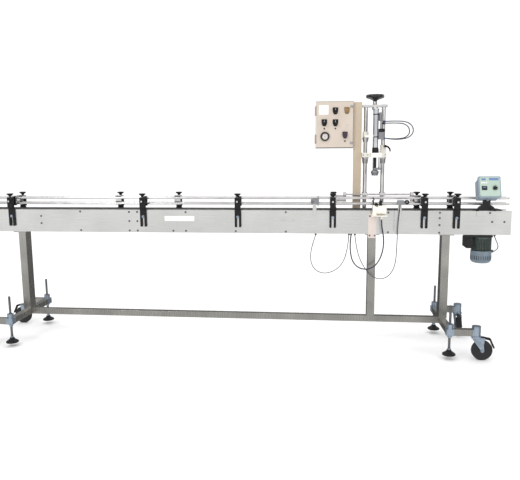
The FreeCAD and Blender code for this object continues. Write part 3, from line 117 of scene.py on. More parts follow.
ALONG_X, ALONG_Z = (60, 1, 1), (1, 1, 60)
FINISH = {
    # Folded 304 sheet, brushed along the rail: long fine lines and a soft broad gloss.
    "rail_steel": finish("brushed_stainless_sheet", "#d8d8d6", "#c2c2c0", 2.5, (0.24, 0.36),
        ALONG_X, 0.015, 240, Metallic=1.0),
    # Square stainless tube, brushed up its length and dulled by handling.
    "tube_steel": finish("brushed_stainless_tube", "#b3b1ab", "#8f8e8a", 2.5, (0.2, 0.32),
        ALONG_Z, 0.015, 160, Metallic=1.0),
    # Centreless-ground bar: nearly a mirror, with faint rings.
    "ground_bar": finish("ground_stainless_bar", "#d4d3d2", "#acabab", 1.6, (0.1, 0.2),
        (1, 1, 0.4), 0.006, 60, Metallic=1.0),
    # Turned steel with its tool marks.
    "turned_steel": finish("turned_bright_steel", "#b0b0af", "#868686", 1.2, (0.2, 0.32),
        bump_mm=0.012, Metallic=1.0),
    # Zinc plate over castings and pressings: cool, cloudy and slightly blotched.
    "zinc": finish("bright_zinc_plate", "#b3c0cf", "#7f8b99", 7, (0.28, 0.44), bump_mm=0.03,
        blotch_mm=35, Metallic=1.0),
    # Clear-anodised aluminium tube: even, silky and pale.
    "anodised": finish("clear_anodised_aluminium", "#d6d9dd", "#bcbfc4", 2, (0.26, 0.38),
        bump_mm=0.006, Metallic=1.0),
    # Cast aluminium, lightly shot-blasted.
    "cast_alloy": finish("blasted_aluminium_casting", "#9b9da1", "#7e8084", 1.5, (0.42, 0.58),
        bump_mm=0.05, Metallic=1.0),
    # Stainless fasteners and screwed spindles, coloured dark grey: painted shade for how dark
    # these small stainless parts look.
    "bolt_steel": finish("shade_darkened_stainless_fastener", "#77797b", "#4a4c4f", 2, (0.3, 0.5),
        Metallic=1.0),
    # Textured beige powder coat on the post and the control box: a fine orange peel.
    "beige_coat": finish("beige_powder_coat", "#bfb09c", "#b1a18b", 2.2, (0.45, 0.6),
        bump_mm=0.05, blotch_mm=200),
    "box_coat": finish("cream_powder_coat", "#cdc1b5", "#bfb2a5", 2.2, (0.36, 0.5),
        bump_mm=0.05, blotch_mm=150),
    # The station plate: a paler coat over thin sheet.
    "plate_coat": finish("pale_powder_coat", "#d8cdc6", "#cdc1b9", 2.2, (0.42, 0.56),
        bump_mm=0.05, blotch_mm=80),
    # Two-part cream enamel on the head castings: smooth, slightly yellowed.
    "cream_enamel": finish("cream_enamel", "#efede4", "#e3dfd4", 6, (0.25, 0.4), bump_mm=0.03,
        Coat_Weight=0.3, Coat_Roughness=0.2),
    # Glass-filled nylon, moulded: black with a dull pebble and worn pale spots.
    "black_nylon": finish("moulded_black_nylon", "#070709", "#111114", 1.6, (0.42, 0.6),
        bump_mm=0.05, blotch_mm=30, Specular_IOR_Level=0.3),
    # Phenolic handwheel: pressed and polished, deep and glossy.
    "phenolic": finish("polished_phenolic", "#04040a", "#0a0a12", 8, (0.24, 0.36),
        bump_mm=0.01, Coat_Weight=0.15, Coat_Roughness=0.1),
    # Black stove enamel over steel and cast iron.
    "black_enamel": finish("black_stove_enamel", "#0a0a0c", "#151517", 4, (0.3, 0.46),
        bump_mm=0.04, Specular_IOR_Level=0.35),
    # Green-grey machine enamel on the motor casting.
    "motor_enamel": finish("grey_green_machine_enamel", "#48524d", "#323b37", 5, (0.3, 0.46),
        bump_mm=0.06, blotch_mm=40),
    "cowl_enamel": finish("blue_grey_pressed_cowl", "#76838e", "#5b6771", 5, (0.28, 0.42),
        bump_mm=0.03, blotch_mm=40),
    # Pale green moulded lid and grey base of the speed controller.
    "green_lid": finish("pale_green_moulded_abs", "#b3c5b9", "#a5b8ac", 2, (0.35, 0.5),
        bump_mm=0.03),
    "grey_shell": finish("grey_moulded_abs", "#93a0ac", "#7f8c98", 2, (0.4, 0.55), bump_mm=0.03),
    # Printed polycarbonate overlays.
    "blue_film": finish("blue_printed_film", "#6a86b6", "#57719c", 10, (0.25, 0.35)),
    "white_film": finish("white_printed_film", "#eeeeea", "#e2e2dc", 10, (0.3, 0.4)),
    "black_film": finish("black_printed_film", "#101115", "#1a1b20", 10, (0.25, 0.35)),
    "silver_film": finish("silver_foil_label", "#c9cac6", "#b5b6b2", 10, (0.3, 0.45),
        Metallic=0.6),
    # Charcoal acetal slats, scuffed along their travel.
    "acetal": finish("charcoal_acetal", "#222326", "#37383b", 3, (0.35, 0.5), ALONG_X, 0.03, 60),
    # Natural polythene wear strip.
    "polythene": finish("natural_polythene", "#dcdcd2", "#cfcfc4", 5, (0.4, 0.55)),
    # Extruded hose: dark blue polyurethane with a soft gloss.
    "hose": finish("dark_blue_polyurethane_hose", "#0c1226", "#161d36", 6, (0.3, 0.42),
        bump_mm=0.01),
    "cable": finish("dark_pvc_cable", "#15171d", "#22252d", 4, (0.35, 0.5), bump_mm=0.015),
    "conduit": finish("grey_flexible_conduit", "#4a4d52", "#5b5f64", 3, (0.35, 0.5)),
    # Caster tyre: black rubber greyed by floor dust.
    "tyre": finish("dusty_black_rubber", "#0a0a0e", "#17171a", 5, (0.55, 0.75), bump_mm=0.08,
        blotch_mm=25),
    "hub": finish("grey_polypropylene_hub", "#6d7176", "#5c6065", 3, (0.4, 0.55), bump_mm=0.03),
    # Signal colours of the small fittings.
    "purple_cap": finish("dark_purple_gloss_cap", "#3a2440", "#2c1a32", 5, (0.15, 0.28)),
    "amber_lens": finish("amber_ribbed_lens", "#8c6a34", "#6b4f26", 4, (0.08, 0.18),
        Coat_Weight=0.6),
    "needle_red": finish("red_painted_needle", "#b02a20", "#98221a", 4, (0.3, 0.4)),
    # The gauge's printed dial, read through the clear lens bonded over it.
    "dial_face": finish("dial_under_clear_lens", "#d6cfcb", "#cac2bd", 10, (0.4, 0.5),
        Coat_Weight=1.0, Coat_Roughness=0.03),
    # Dark grey-green strips round the control box door: painted shade along its shaded edges.
    "painted_edge_shade": finish("painted_door_edge_shade_coat", "#59625f", "#474f4c", 4, (0.5, 0.65)),
}


# ---- shape helpers

def lathe(profile, at=(0, 0, 0), axis="Z", steps=40, wave=None):
    """Turn (radius, height) points about an axis; wave(angle, radius) reshapes each ring."""
    points, faces = [], []
    for radius, height in profile:
        for step in range(steps):
            angle = 2 * pi * step / steps
            reach = wave(angle, radius) if wave else radius
            points.append(Vector((reach * cos(angle), reach * sin(angle), height)))
    rows = len(profile)
    for row in range(rows - 1):
        for step in range(steps):
            after = (step + 1) % steps
            faces.append((row * steps + step, row * steps + after, (row + 1) * steps + after,
                (row + 1) * steps + step))
    faces.append(tuple(reversed(range(steps))))
    faces.append(tuple(range((rows - 1) * steps, rows * steps)))
    turn = {"Z": Matrix(), "-Z": Matrix.Rotation(pi, 4, "X"), "Y": Matrix.Rotation(-pi / 2, 4,
        "X"), "-Y": Matrix.Rotation(pi / 2, 4, "X"), "X": Matrix.Rotation(pi / 2, 4, "Y"),
        "-X": Matrix.Rotation(-pi / 2, 4, "Y")}[axis]
    place = Matrix.Translation(Vector(at)) @ turn
    return [place @ point for point in points], faces


def rod(radius, length, at, axis="Z", steps=40):
    """A plain round bar from its start along its axis."""
    return lathe([(radius, 0), (radius, length)], at, axis, steps)


def ring(outer, inner, low, high, at, axis="Z", steps=40):
    """A closed ring: the profile runs up the outside and back down the bore."""
    points, faces = lathe([(outer, low), (outer, high), (inner, high), (inner, low)], at, axis,
        steps)
    faces = faces[:-2]
    faces += [(3 * steps + step, 3 * steps + (step + 1) % steps, (step + 1) % steps, step)
        for step in range(steps)]
    return points, faces


def slab(outline, low, high, plane="XY"):
    """Pull a flat outline from low to high along the axis that is not in its plane."""
    order = {"XY": lambda a, b, c: (a, b, c), "XZ": lambda a, b, c: (a, c, b), "YZ": lambda a, b,
        c: (c, a, b)}[plane]
    points = [Vector(order(a, b, depth)) for depth in (low, high) for a, b in outline]
    count = len(outline)
    faces = [tuple(range(count)), tuple(range(count, 2 * count))]
    faces += [(step, (step + 1) % count, count + (step + 1) % count, count + step)
        for step in range(count)]
    return points, faces


def brick(x, y, z):
    """A block between three (low, high) pairs."""
    return slab([(x[0], y[0]), (x[1], y[0]), (x[1], y[1]), (x[0], y[1])], z[0], z[1])


def rounded(width, height, radius, centre=(0, 0), steps=5):
    """The outline of a rectangle with rounded corners."""
    outline = []
    for corner, (across, up) in enumerate(((1, 1), (-1, 1), (-1, -1), (1, -1))):
        for step in range(steps + 1):
            angle = pi / 2 * (corner + step / steps)
            outline.append((centre[0] + across * (width / 2 - radius) + radius * cos(angle),
                centre[1] + up * (height / 2 - radius) + radius * sin(angle)))
    return outline


def plate(width, height, radius, centre, low, high):
    """An upright plate with rounded corners, from low to high in Y."""
    return slab(rounded(width, height, radius, centre), low, high, "XZ")


def threads(radius, low, high, pitch, at, depth=0.8, steps=16):
    """A screw thread as one helical ridge round a bar."""
    rows = int((high - low) / pitch * 4)
    profile = [(radius, low + (high - low) * row / rows) for row in range(rows + 1)]
    points, faces = lathe(profile, (0, 0, 0), "Z", steps)
    for number, point in enumerate(points):
        angle = (number % steps) / steps
        turn = (point.z / pitch - angle) % 1
        shrink = 1 - depth / radius * abs(2 * turn - 1)
        point.x, point.y = point.x * shrink, point.y * shrink
    return [point + Vector(at) for point in points], faces


def placed(shape, matrix):
    """The same shape, moved by a matrix in millimetres."""
    return [matrix @ point for point in shape[0]], shape[1]


def in_scene(name, data):
    """A new object in the scene, made from a mesh, a curve, a lamp or a camera."""
    item = bpy.data.objects.new(name, data)
    bpy.context.scene.collection.objects.link(item)
    return item


def piece(name, shapes, coat, body="machine", stands_for=(), edge=0):
    """Make one finished piece from its shapes, round its edges by edge mm, fix it to a body."""
    work = bmesh.new()
    for points, faces in shapes:
        made = [work.verts.new(point * MM) for point in points]
        for face in faces:
            work.faces.new([made[index] for index in face])
    bmesh.ops.recalc_face_normals(work, faces=work.faces)
    for face in work.faces:
        face.smooth = True
    for line in work.edges:
        if len(line.link_faces) == 2 and line.calc_face_angle(0) > CREASE:
            line.smooth = False
    mesh = bpy.data.meshes.new(name)
    work.to_mesh(mesh)
    work.free()
    mesh.materials.append(FINISH[coat])
    made = in_scene(name, mesh)
    soften(made, edge)
    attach(made, body)
    if stands_for:
        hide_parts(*stands_for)
    return made


def soften(item, width_mm, segments=2):
    """Round the sharp edges of a piece, as a file or a mould radius does."""
    if not width_mm:
        return
    bevel = item.modifiers.new("edge_radius", "BEVEL")
    bevel.width = width_mm * MM
    bevel.segments = segments
    bevel.limit_method = "ANGLE"
    bevel.angle_limit = radians(38)
    flat = item.modifiers.new("flat_faces", "WEIGHTED_NORMAL")
    flat.mode, flat.weight, flat.keep_sharp = "FACE_AREA", 80, False


def islands(node):
    """The centre and half size of each separate solid of a CAD node, in millimetres."""
    work = bmesh.new()
    work.from_mesh(NODES[node].data)
    bmesh.ops.remove_doubles(work, verts=work.verts, dist=1e-6)
    seen, found = set(), []
    for start in work.verts:
        if start in seen:
            continue
        seen.add(start)
        stack, group = [start], []
        while stack:
            vert = stack.pop()
            group.append(vert.co.copy())
            for line in vert.link_edges:
                other = line.other_vert(vert)
                if other not in seen:
                    seen.add(other)
                    stack.append(other)
        low = Vector([min(point[axis] for point in group) for axis in range(3)])
        high = Vector([max(point[axis] for point in group) for axis in range(3)])
        found.append(((low + high) / 2 / MM, (high - low) / 2 / MM))
    work.free()
    return found


def repeated(name, places, shape, coat, turns, body="machine", stands_for=(), edge=0):
    """Geometry Nodes: set one small shape at every place, turned by its own angles."""
    template = bpy.data.meshes.new(name + "_one")
    template.from_pydata([point * MM for point in shape[0]], [], shape[1])
    template.shade_flat()
    one = in_scene(name + "_one", template)
    holder = bpy.data.meshes.new(name)
    holder.from_pydata([Vector(place) * MM for place in places], [], [])
    turn = holder.attributes.new("turn", "FLOAT_VECTOR", "POINT")
    for index in range(len(places)):
        turn.data[index].vector = turns[index]
    made = in_scene(name, holder)
    tree = bpy.data.node_groups.new(name + "_tree", "GeometryNodeTree")
    tree.interface.new_socket("Places", in_out="INPUT", socket_type="NodeSocketGeometry")
    tree.interface.new_socket("Shape", in_out="INPUT", socket_type="NodeSocketObject")
    size = tree.interface.new_socket("Size", in_out="INPUT", socket_type="NodeSocketFloat")
    size.default_value = 1.0
    tree.interface.new_socket("Result", in_out="OUTPUT", socket_type="NodeSocketGeometry")
    source = add(tree, "NodeGroupInput")
    shape_info = add(tree, "GeometryNodeObjectInfo", {"Object": source.outputs["Shape"]})
    angles = add(tree, "GeometryNodeInputNamedAttribute", {"Name": "turn"},
        data_type="FLOAT_VECTOR")
    spin = add(tree, "FunctionNodeEulerToRotation", {"Euler": angles.outputs["Attribute"]})
    grown = add(tree, "ShaderNodeCombineXYZ", {axis: source.outputs["Size"] for axis in "XYZ"})
    copies = add(tree, "GeometryNodeInstanceOnPoints", {"Points": source.outputs["Places"],
        "Instance": shape_info.outputs["Geometry"], "Rotation": spin.outputs["Rotation"],
        "Scale": grown.outputs["Vector"]})
    real = add(tree, "GeometryNodeRealizeInstances", {"Geometry": copies.outputs["Instances"]})
    coated = add(tree, "GeometryNodeSetMaterial", {"Geometry": real.outputs["Geometry"],
        "Material": FINISH[coat]})
    add(tree, "NodeGroupOutput", {"Result": coated.outputs["Geometry"]})
    modifier = made.modifiers.new("repeat", "NODES")
    modifier.node_group = tree
    by_name = {socket.name: socket.identifier for socket in tree.interface.items_tree
        if socket.in_out == "INPUT"}
    modifier[by_name["Shape"]] = one
    modifier[by_name["Size"]] = 1.0
    bpy.context.view_layer.update()
    finished = bpy.data.meshes.new_from_object(
        made.evaluated_get(bpy.context.evaluated_depsgraph_get()))
    made.modifiers.remove(modifier)
    made.data = finished
    bpy.data.objects.remove(one)
    soften(made, edge, 1)
    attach(made, body)
    if stands_for:
        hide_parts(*stands_for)
    return made


def coat_node(node, coat, edge):
    """Give a CAD node its finish, and edges either rounded or left crisp."""
    item = NODES[node]
    item.data.materials.clear()
    item.data.materials.append(FINISH[coat])
    item.data.shade_smooth()
    weld = item.modifiers.new("weld", "WELD")
    weld.merge_threshold = 0.01 * MM
    soften(item, edge)
    if not edge:
        split = item.modifiers.new("crisp_edges", "EDGE_SPLIT")
        split.split_angle = radians(35)


# ---- CAD nodes that stay

for coat, edge, nodes in (
        ("rail_steel", 0, ("front_rail", "rear_rail")), ("polythene", 0, ("chain_bed",)),
        ("acetal", 0, ("slat_chain",)), ("turned_steel", 0, ("drive_shaft", "tail_shaft")),
        ("ground_bar", 0.6, ("front_guide_rails", "rear_guide_rails", "third_guide_rod",
                             "column_frame")),
        ("black_enamel", 0.8, ("shaft_bearings", "speed_bracket")),
        ("tube_steel", 1.2, ("base_frame",)), ("zinc", 1.5, ("base_clamps",)),
        ("beige_coat", 1.5, ("mast",)), ("box_coat", 1.0, ("control_box",)),
        ("box_coat", 1.2, ("box_door",)), ("cream_enamel", 1.2, ("crosshead",)),
        ("zinc", 0.8, [caster + "_fork" for caster in CASTERS]),
        ("black_nylon", 1.0, ["clamp_lever"] + [caster + "_pedal" for caster in CASTERS])):
    for node in nodes:
        coat_node(node, coat, edge)


# ---- places shared with the CAD, in millimetres

RAIL_TOP, RAIL_FACE, PIN_Z = 894, 65, 952
BRACKETS = {-1: (-1460, -544, 88, 700, 1271, 1468), 1: (-1452, -745, -336, 705, 1243, 1454)}
COLUMN_X, COLUMN_Y, SCREW_X, HEAD_X = (908, 1020), 95, 964, 964
PLATE_TOP, CROSS_LOW, CROSS_HIGH, DOOR_FACE = 1560, 1227, 1256, 45.5
POST_X, FOOT_Y, CASTER_X, WHEEL_TRAIL, WHEEL_Z = 1415, 262, 1572, 37, 62.5
TRAILS = {"front_left": (-1, 0), "front_right": (1, 0), "rear_left": (-1, 0),
          "rear_right": (0, -1)}
HINGE_PITCH, BEND_RADIUS = 38.1, 66
MOTOR_X, COWL_LOW, MOTOR_LOW, MOTOR_TOP = 1643, 559, 642, 716
GLAND_X, GLAND_Z = (592, 804, 818.5, 842, 1706), RAIL_TOP - 150
SWITCHES, REGULATOR = ((711, 1524), (641, 1450), (712, 1449)), (774, 1371)
LAMP, GAUGE = (784, 1525), (646, 1362)
TOWARDS_FRONT, TOWARDS_REAR = (pi / 2, 0, 0), (-pi / 2, 0, 0)
SPEED_FRAME = Matrix.Translation((1640, -168, 988)) @ Matrix.Rotation(radians(-21), 4, "X")


def hexagon(radius, thick, washer=0.0):
    """A hexagon head on its washer, standing along its own Z axis."""
    top = washer + thick
    head = lathe([(radius, washer), (radius, washer + thick * 0.75), (radius * 0.86, top)],
        steps=6)
    if not washer:
        return head
    disc = lathe([(radius * 1.25, 0), (radius * 1.25, washer)], steps=12)
    count = len(head[0])
    return head[0] + disc[0], head[1] + [tuple(index + count for index in face)
        for face in disc[1]]


# ---- conveyor details

def make_rail_fasteners():
    """Hexagon bolts through the side rails, larger ones through the bracket slots."""
    small, large = [], []
    for centre, half in islands("rail_bolts"):
        side = 1 if centre.y > 0 else -1
        (large if half.x > 8 else small).append((centre, half, side))
    turned_out = {side: (-side * pi / 2, 0, 0) for side in (-1, 1)}
    repeated("rail_bolt_heads", [(c.x, side * RAIL_FACE, c.z) for c, _, side in small],
        hexagon(5.4, 4.0, 1.0), "bolt_steel", [turned_out[side] for _, _, side in small],
        stands_for=("rail_bolts",), edge=0.3)
    repeated("bracket_bolt_heads", [(c.x, side * (RAIL_FACE + 12), c.z) for c, _, side in large],
        hexagon(7.6, 4.4, 1.6), "zinc", [turned_out[side] for _, _, side in large], edge=0.3)


def make_chain_hinges():
    """The hinge barrels that join the slats, under every gap."""
    span, radius, centre_z = 1722, 63.5, 832
    straight, bend = 2 * span, pi * BEND_RADIUS
    length = 2 * (straight + bend)
    count = round(length / HINGE_PITCH)
    places = []
    for number in range(count):
        way = number * length / count
        if way < straight:
            places.append((-span + way, -19, centre_z + radius))
        elif way < straight + bend:
            angle = (way - straight) / BEND_RADIUS
            places.append((span + radius * sin(angle), -19, centre_z + radius * cos(angle)))
        elif way < 2 * straight + bend:
            places.append((span - (way - straight - bend), -19, centre_z - radius))
        else:
            angle = pi + (way - 2 * straight - bend) / BEND_RADIUS
            places.append((-span + radius * sin(angle), -19, centre_z + radius * cos(angle)))
    repeated("chain_hinges", places, lathe([(2.6, 0), (3.2, 1), (3.2, 37), (2.6, 38)], steps=8),
        "turned_steel", [TOWARDS_REAR] * count)


def bracket_leg(x, side):
    """A slotted bracket: forked leg, shouldered holder and the cap round the grip's pin."""
    half, slot, foot, shoulder, slot_top = 21, 7, 783, 905, 860
    arch = [(slot * cos(angle), slot_top - 7 + slot * sin(angle))
        for angle in (pi * step / 8 for step in range(9))]
    outline = [(-half, foot + 5), (-half + 4, foot), (-slot - 2, foot), (-slot, foot + 3)]
    outline += [(a, z) for a, z in reversed(arch)]
    outline += [(slot, foot + 3), (slot + 2, foot), (half - 4, foot), (half, foot + 5),
        (half, shoulder - 8), (18, shoulder), (-18, shoulder), (-half, shoulder - 8)]
    near, far = sorted((side * RAIL_FACE, side * (RAIL_FACE + 12)))
    leg = slab([(x + a, z) for a, z in outline], near, far, "XZ")
    low, high = sorted((side * RAIL_FACE, side * (RAIL_FACE + 26)))
    holder = plate(36, 73, 5, (x, 941.5), low, high)
    eye_at = (x, side * (RAIL_FACE + 26), PIN_Z)
    eye = ring(11, 6.4, 0, 3, eye_at, "Y" if side > 0 else "-Y", 24)
    return [leg, holder, eye]


def make_brackets():
    """Moulded brackets, each with a flared and fluted hand knob on a steel stud."""
    legs, knobs, studs = [], [], []

    def fluted(angle, radius):
        return radius * (1 - 0.07 * (0.5 + 0.5 * cos(8 * angle))) if radius > 15 else radius

    for side in (-1, 1):
        for x in BRACKETS[side]:
            legs += bracket_leg(x, side)
            at = (x, side * (RAIL_FACE + 13), 978)
            knobs.append(lathe([(7, 3), (8, 6), (9, 9), (14, 14), (20.5, 18), (22, 20), (22, 23),
                (20, 25), (9, 25), (8, 24)], at, "Z", 48, fluted))
            studs.append(lathe([(5, -2), (5, 4)], at, "Z", 12))
    piece("bracket_mouldings", legs, "black_nylon", stands_for=("guide_brackets",), edge=1.0)
    piece("bracket_knobs", knobs, "black_nylon")
    piece("bracket_studs", studs, "turned_steel")


def make_rail_plates():
    """Station plate, clamp shelf, blank foil labels, the controller's foot and cable glands."""
    face = -RAIL_FACE
    piece("station_plate", [plate(52, 157, 3, (950, 797.5), face - 4, face)], "plate_coat",
        stands_for=("rail_plates",), edge=0.8)
    piece("clamp_shelf", [brick((940, 1036), (-150, face - 4), (866, 872))], "cream_enamel",
        edge=1.0)
    piece("foil_labels", [plate(208, 40, 4, (-302, 838), face - 0.6, face),
        plate(110, 20, 3, (404, 832), face - 0.6, face)], "silver_film")
    piece("label_fields", [plate(200, 33, 2, (-302, 838), face - 0.9, face - 0.5)], "white_film")
    piece("controller_foot", [plate(70, 45, 4, (1623, 882.5), face - 4, face)], "rail_steel",
        edge=0.8)
    glands = []
    for x in GLAND_X:
        glands.append(lathe([(5.4, -9), (6.4, -7), (6.4, -2), (5.6, 0)], (x, -57, GLAND_Z), "Z",
            18))
        glands.append(lathe([(7, -4), (7, 0)], (x, -57, GLAND_Z), "Z", 6))
    piece("cable_glands", glands, "black_nylon", edge=0.3)
    places = [(x, face - 4, z) for x in (934, 966) for z in (735, 860)]
    repeated("station_plate_screws", places, hexagon(4.6, 3.2, 0.8), "bolt_steel",
        [TOWARDS_FRONT] * len(places), edge=0.2)


def make_sensors():
    """Photo sensors: moulded heads, ringed lenses and bent steel feet."""
    face = -RAIL_FACE
    piece("sensor_heads", [plate(52, 32, 5, (586, 952), -90, -72),
        plate(42, 28, 5, (1121, 948), -90, -72), rod(7, 20, (1141, -81, 950), "X", 20)],
        "cast_alloy", stands_for=("photo_sensors",), edge=1.0)
    piece("sensor_feet", [plate(24, 100, 4, (584, 912), -72, face),
        plate(22, 94, 4, (1119, 909), -72, face)], "rail_steel", edge=0.8)
    piece("sensor_rings", [ring(14, 9, 0, 20, (1160, -92, 950), "Y", 32),
        ring(6, 3.6, 0, 2.4, (571, -90, 952), "-Y", 24)], "black_enamel", edge=0.5)
    piece("sensor_lenses", [lathe([(9, 0), (7, 3), (3, 4.4)], (1160, -80, 950), "-Y", 24),
        lathe([(3.6, 0), (2, 1.4)], (571, -90, 952), "-Y", 16)], "silver_film")
    piece("sensor_pin", [lathe([(2.2, 0), (3, 1), (3, 65), (2.2, 66)], (606, -81, 922), "Z",
        16)], "turned_steel")


# ---- frame details

def make_feet():
    """Screwed spindles in black conical pads, each with its lock nut."""
    spindles, pads, nuts = [], [], []
    for along in (-1, 1):
        for side in (-1, 1):
            x, y, floor = along * POST_X, side * FOOT_Y, 26
            spindles.append(threads(8, floor + 32, floor + 312, 2.5, (x, y, 0)))
            pads.append(lathe([(38.5, 0), (40, 1.5), (40, 7), (37, 10), (20, 22), (16, 25),
                (15, 31), (13, 33)], (x, y, floor), "Z", 48))
            nuts.append(lathe([(12, 110), (13.5, 112), (13.5, 121), (12, 123)], (x, y, floor),
                "Z", 6))
            nuts.append(rod(11, 9, (x, y, floor + 33), "Z", 6))
    piece("foot_spindles", spindles, "bolt_steel", "feet", ("levelling_feet",))
    piece("foot_pads", pads, "black_nylon", "feet")
    piece("foot_nuts", nuts, "zinc", "feet", edge=0.4)


def make_casters():
    """Tyres on ribbed hubs, axle nuts and the ball races under the sockets."""
    for name in CASTERS:
        along = 1 if "right" in name else -1
        side = 1 if "rear" in name else -1
        trail = TRAILS[name]
        swivel = Vector((along * CASTER_X, side * FOOT_Y, 0))
        centre = swivel + Vector((trail[0] * WHEEL_TRAIL, trail[1] * WHEEL_TRAIL, WHEEL_Z))
        axis = "Y" if trail[0] else "X"
        lateral = Vector((0, 1, 0)) if axis == "Y" else Vector((1, 0, 0))
        start = centre - lateral * 16
        tyre = [(44, 2), (50, 0.6), (57, 1), (61, 4), (62.5, 9), (62.5, 23), (61, 28), (57, 31),
            (50, 31.4), (44, 30)]
        piece(name + "_tyre", [lathe(tyre, start, axis, 64)], "tyre", name + "_roller",
            (name + "_wheel",))
        hub = [(5.05, 0), (13, 0), (14, 2), (15, 8), (38, 9), (42, 3), (45, 2), (45, 30),
            (42, 29), (38, 23), (15, 24), (14, 30), (13, 32), (5.05, 32)]
        piece(name + "_hub", [lathe(hub, start, axis, 48)], "hub", name + "_roller")
        ribs = []
        for spoke in range(6):
            turn = (Matrix.Translation(centre) @ Matrix.Rotation(radians(60 * spoke), 4, axis))
            across = (-11, 11)
            blade = (brick((-1.6, 1.6), across, (14, 40)) if axis == "Y"
                else brick(across, (-1.6, 1.6), (14, 40)))
            ribs.append(placed(blade, turn))
        piece(name + "_hub_ribs", ribs, "hub", name + "_roller", edge=0.5)
        nuts = [placed(hexagon(8.5, 6.0, 1.2), Matrix.Translation(centre + lateral * 22.1 * way)
            @ Vector((0, 0, 1)).rotation_difference(lateral * way) .to_matrix().to_4x4())
            for way in (-1, 1)]
        piece(name + "_axle_nuts", nuts, "zinc", name + "_swivel", edge=0.4)
        piece(name + "_ball_race", [lathe([(28, 0), (31, 1.6), (31, 6), (28, 8)],
            swivel + Vector((0, 0, 143.4)), "Z", 40)], "zinc", name + "_swivel")


# ---- drive details

def make_motor():
    """Ribbed motor casting with its lug, and the blue-grey fan cowl with painted shade bars for
    its vents.
    """
    fins = 40

    def finned(angle, radius):
        ridge = (angle * fins / (2 * pi)) % 1
        return radius if ridge < 0.45 else radius - 6

    steps = fins * 4
    piece("motor_casting", [lathe([(61, 0), (61, 74)], (MOTOR_X, 0, MOTOR_LOW), "Z", steps,
        finned), lathe([(56, 0), (61.5, 3), (61.5, 12), (58, 14)], (MOTOR_X, 0, MOTOR_TOP - 2),
        "Z", 64), brick((1700, 1712), (-28, -12), (626, 642))], "motor_enamel",
        stands_for=("motor",))
    piece("motor_cowl", [lathe([(44, 0), (50, 0), (58, 5), (63, 14), (64, 20), (64, 76),
        (63, 78), (60, 78)], (MOTOR_X, 0, COWL_LOW), "Z", 72)], "cowl_enamel")
    # Black bars on the cowl stand in for its vent openings: painted shade, with no opening cut.
    slot_shade_bars = [placed(slab(rounded(3.4, 26, 1.6), -2, 2, "XZ"), Matrix.Translation(
        (MOTOR_X, 0, COWL_LOW + 35)) @ Matrix.Rotation(radians(12 * step), 4, "Z")
        @ Matrix.Translation((0, -62.6, 0))) for step in range(30)]
    piece("cowl_air_slots", slot_shade_bars, "black_enamel")


def make_gearbox():
    """Worm gear case: ribbed black casting under its mounting plate."""
    ribs = [brick((1534, 1582), (-50, 50), (664 + 12 * step, 668 + 12 * step))
        for step in range(5)]
    piece("gear_case", [plate(44, 73, 8, (1558, 691.5), -48, 48),
        brick((1536, 1695), (-65, 65), (728, 744)), lathe([(26, 0), (26, 3), (20, 5)],
        (1558, -48, 690), "-Y", 32)] + ribs, "black_enamel", stands_for=("gearbox",), edge=1.0)


# ---- control box details

def on_door(spot, out=0):
    """A place on the door's face, or out millimetres in front of it."""
    return spot[0], DOOR_FACE - out, spot[1]


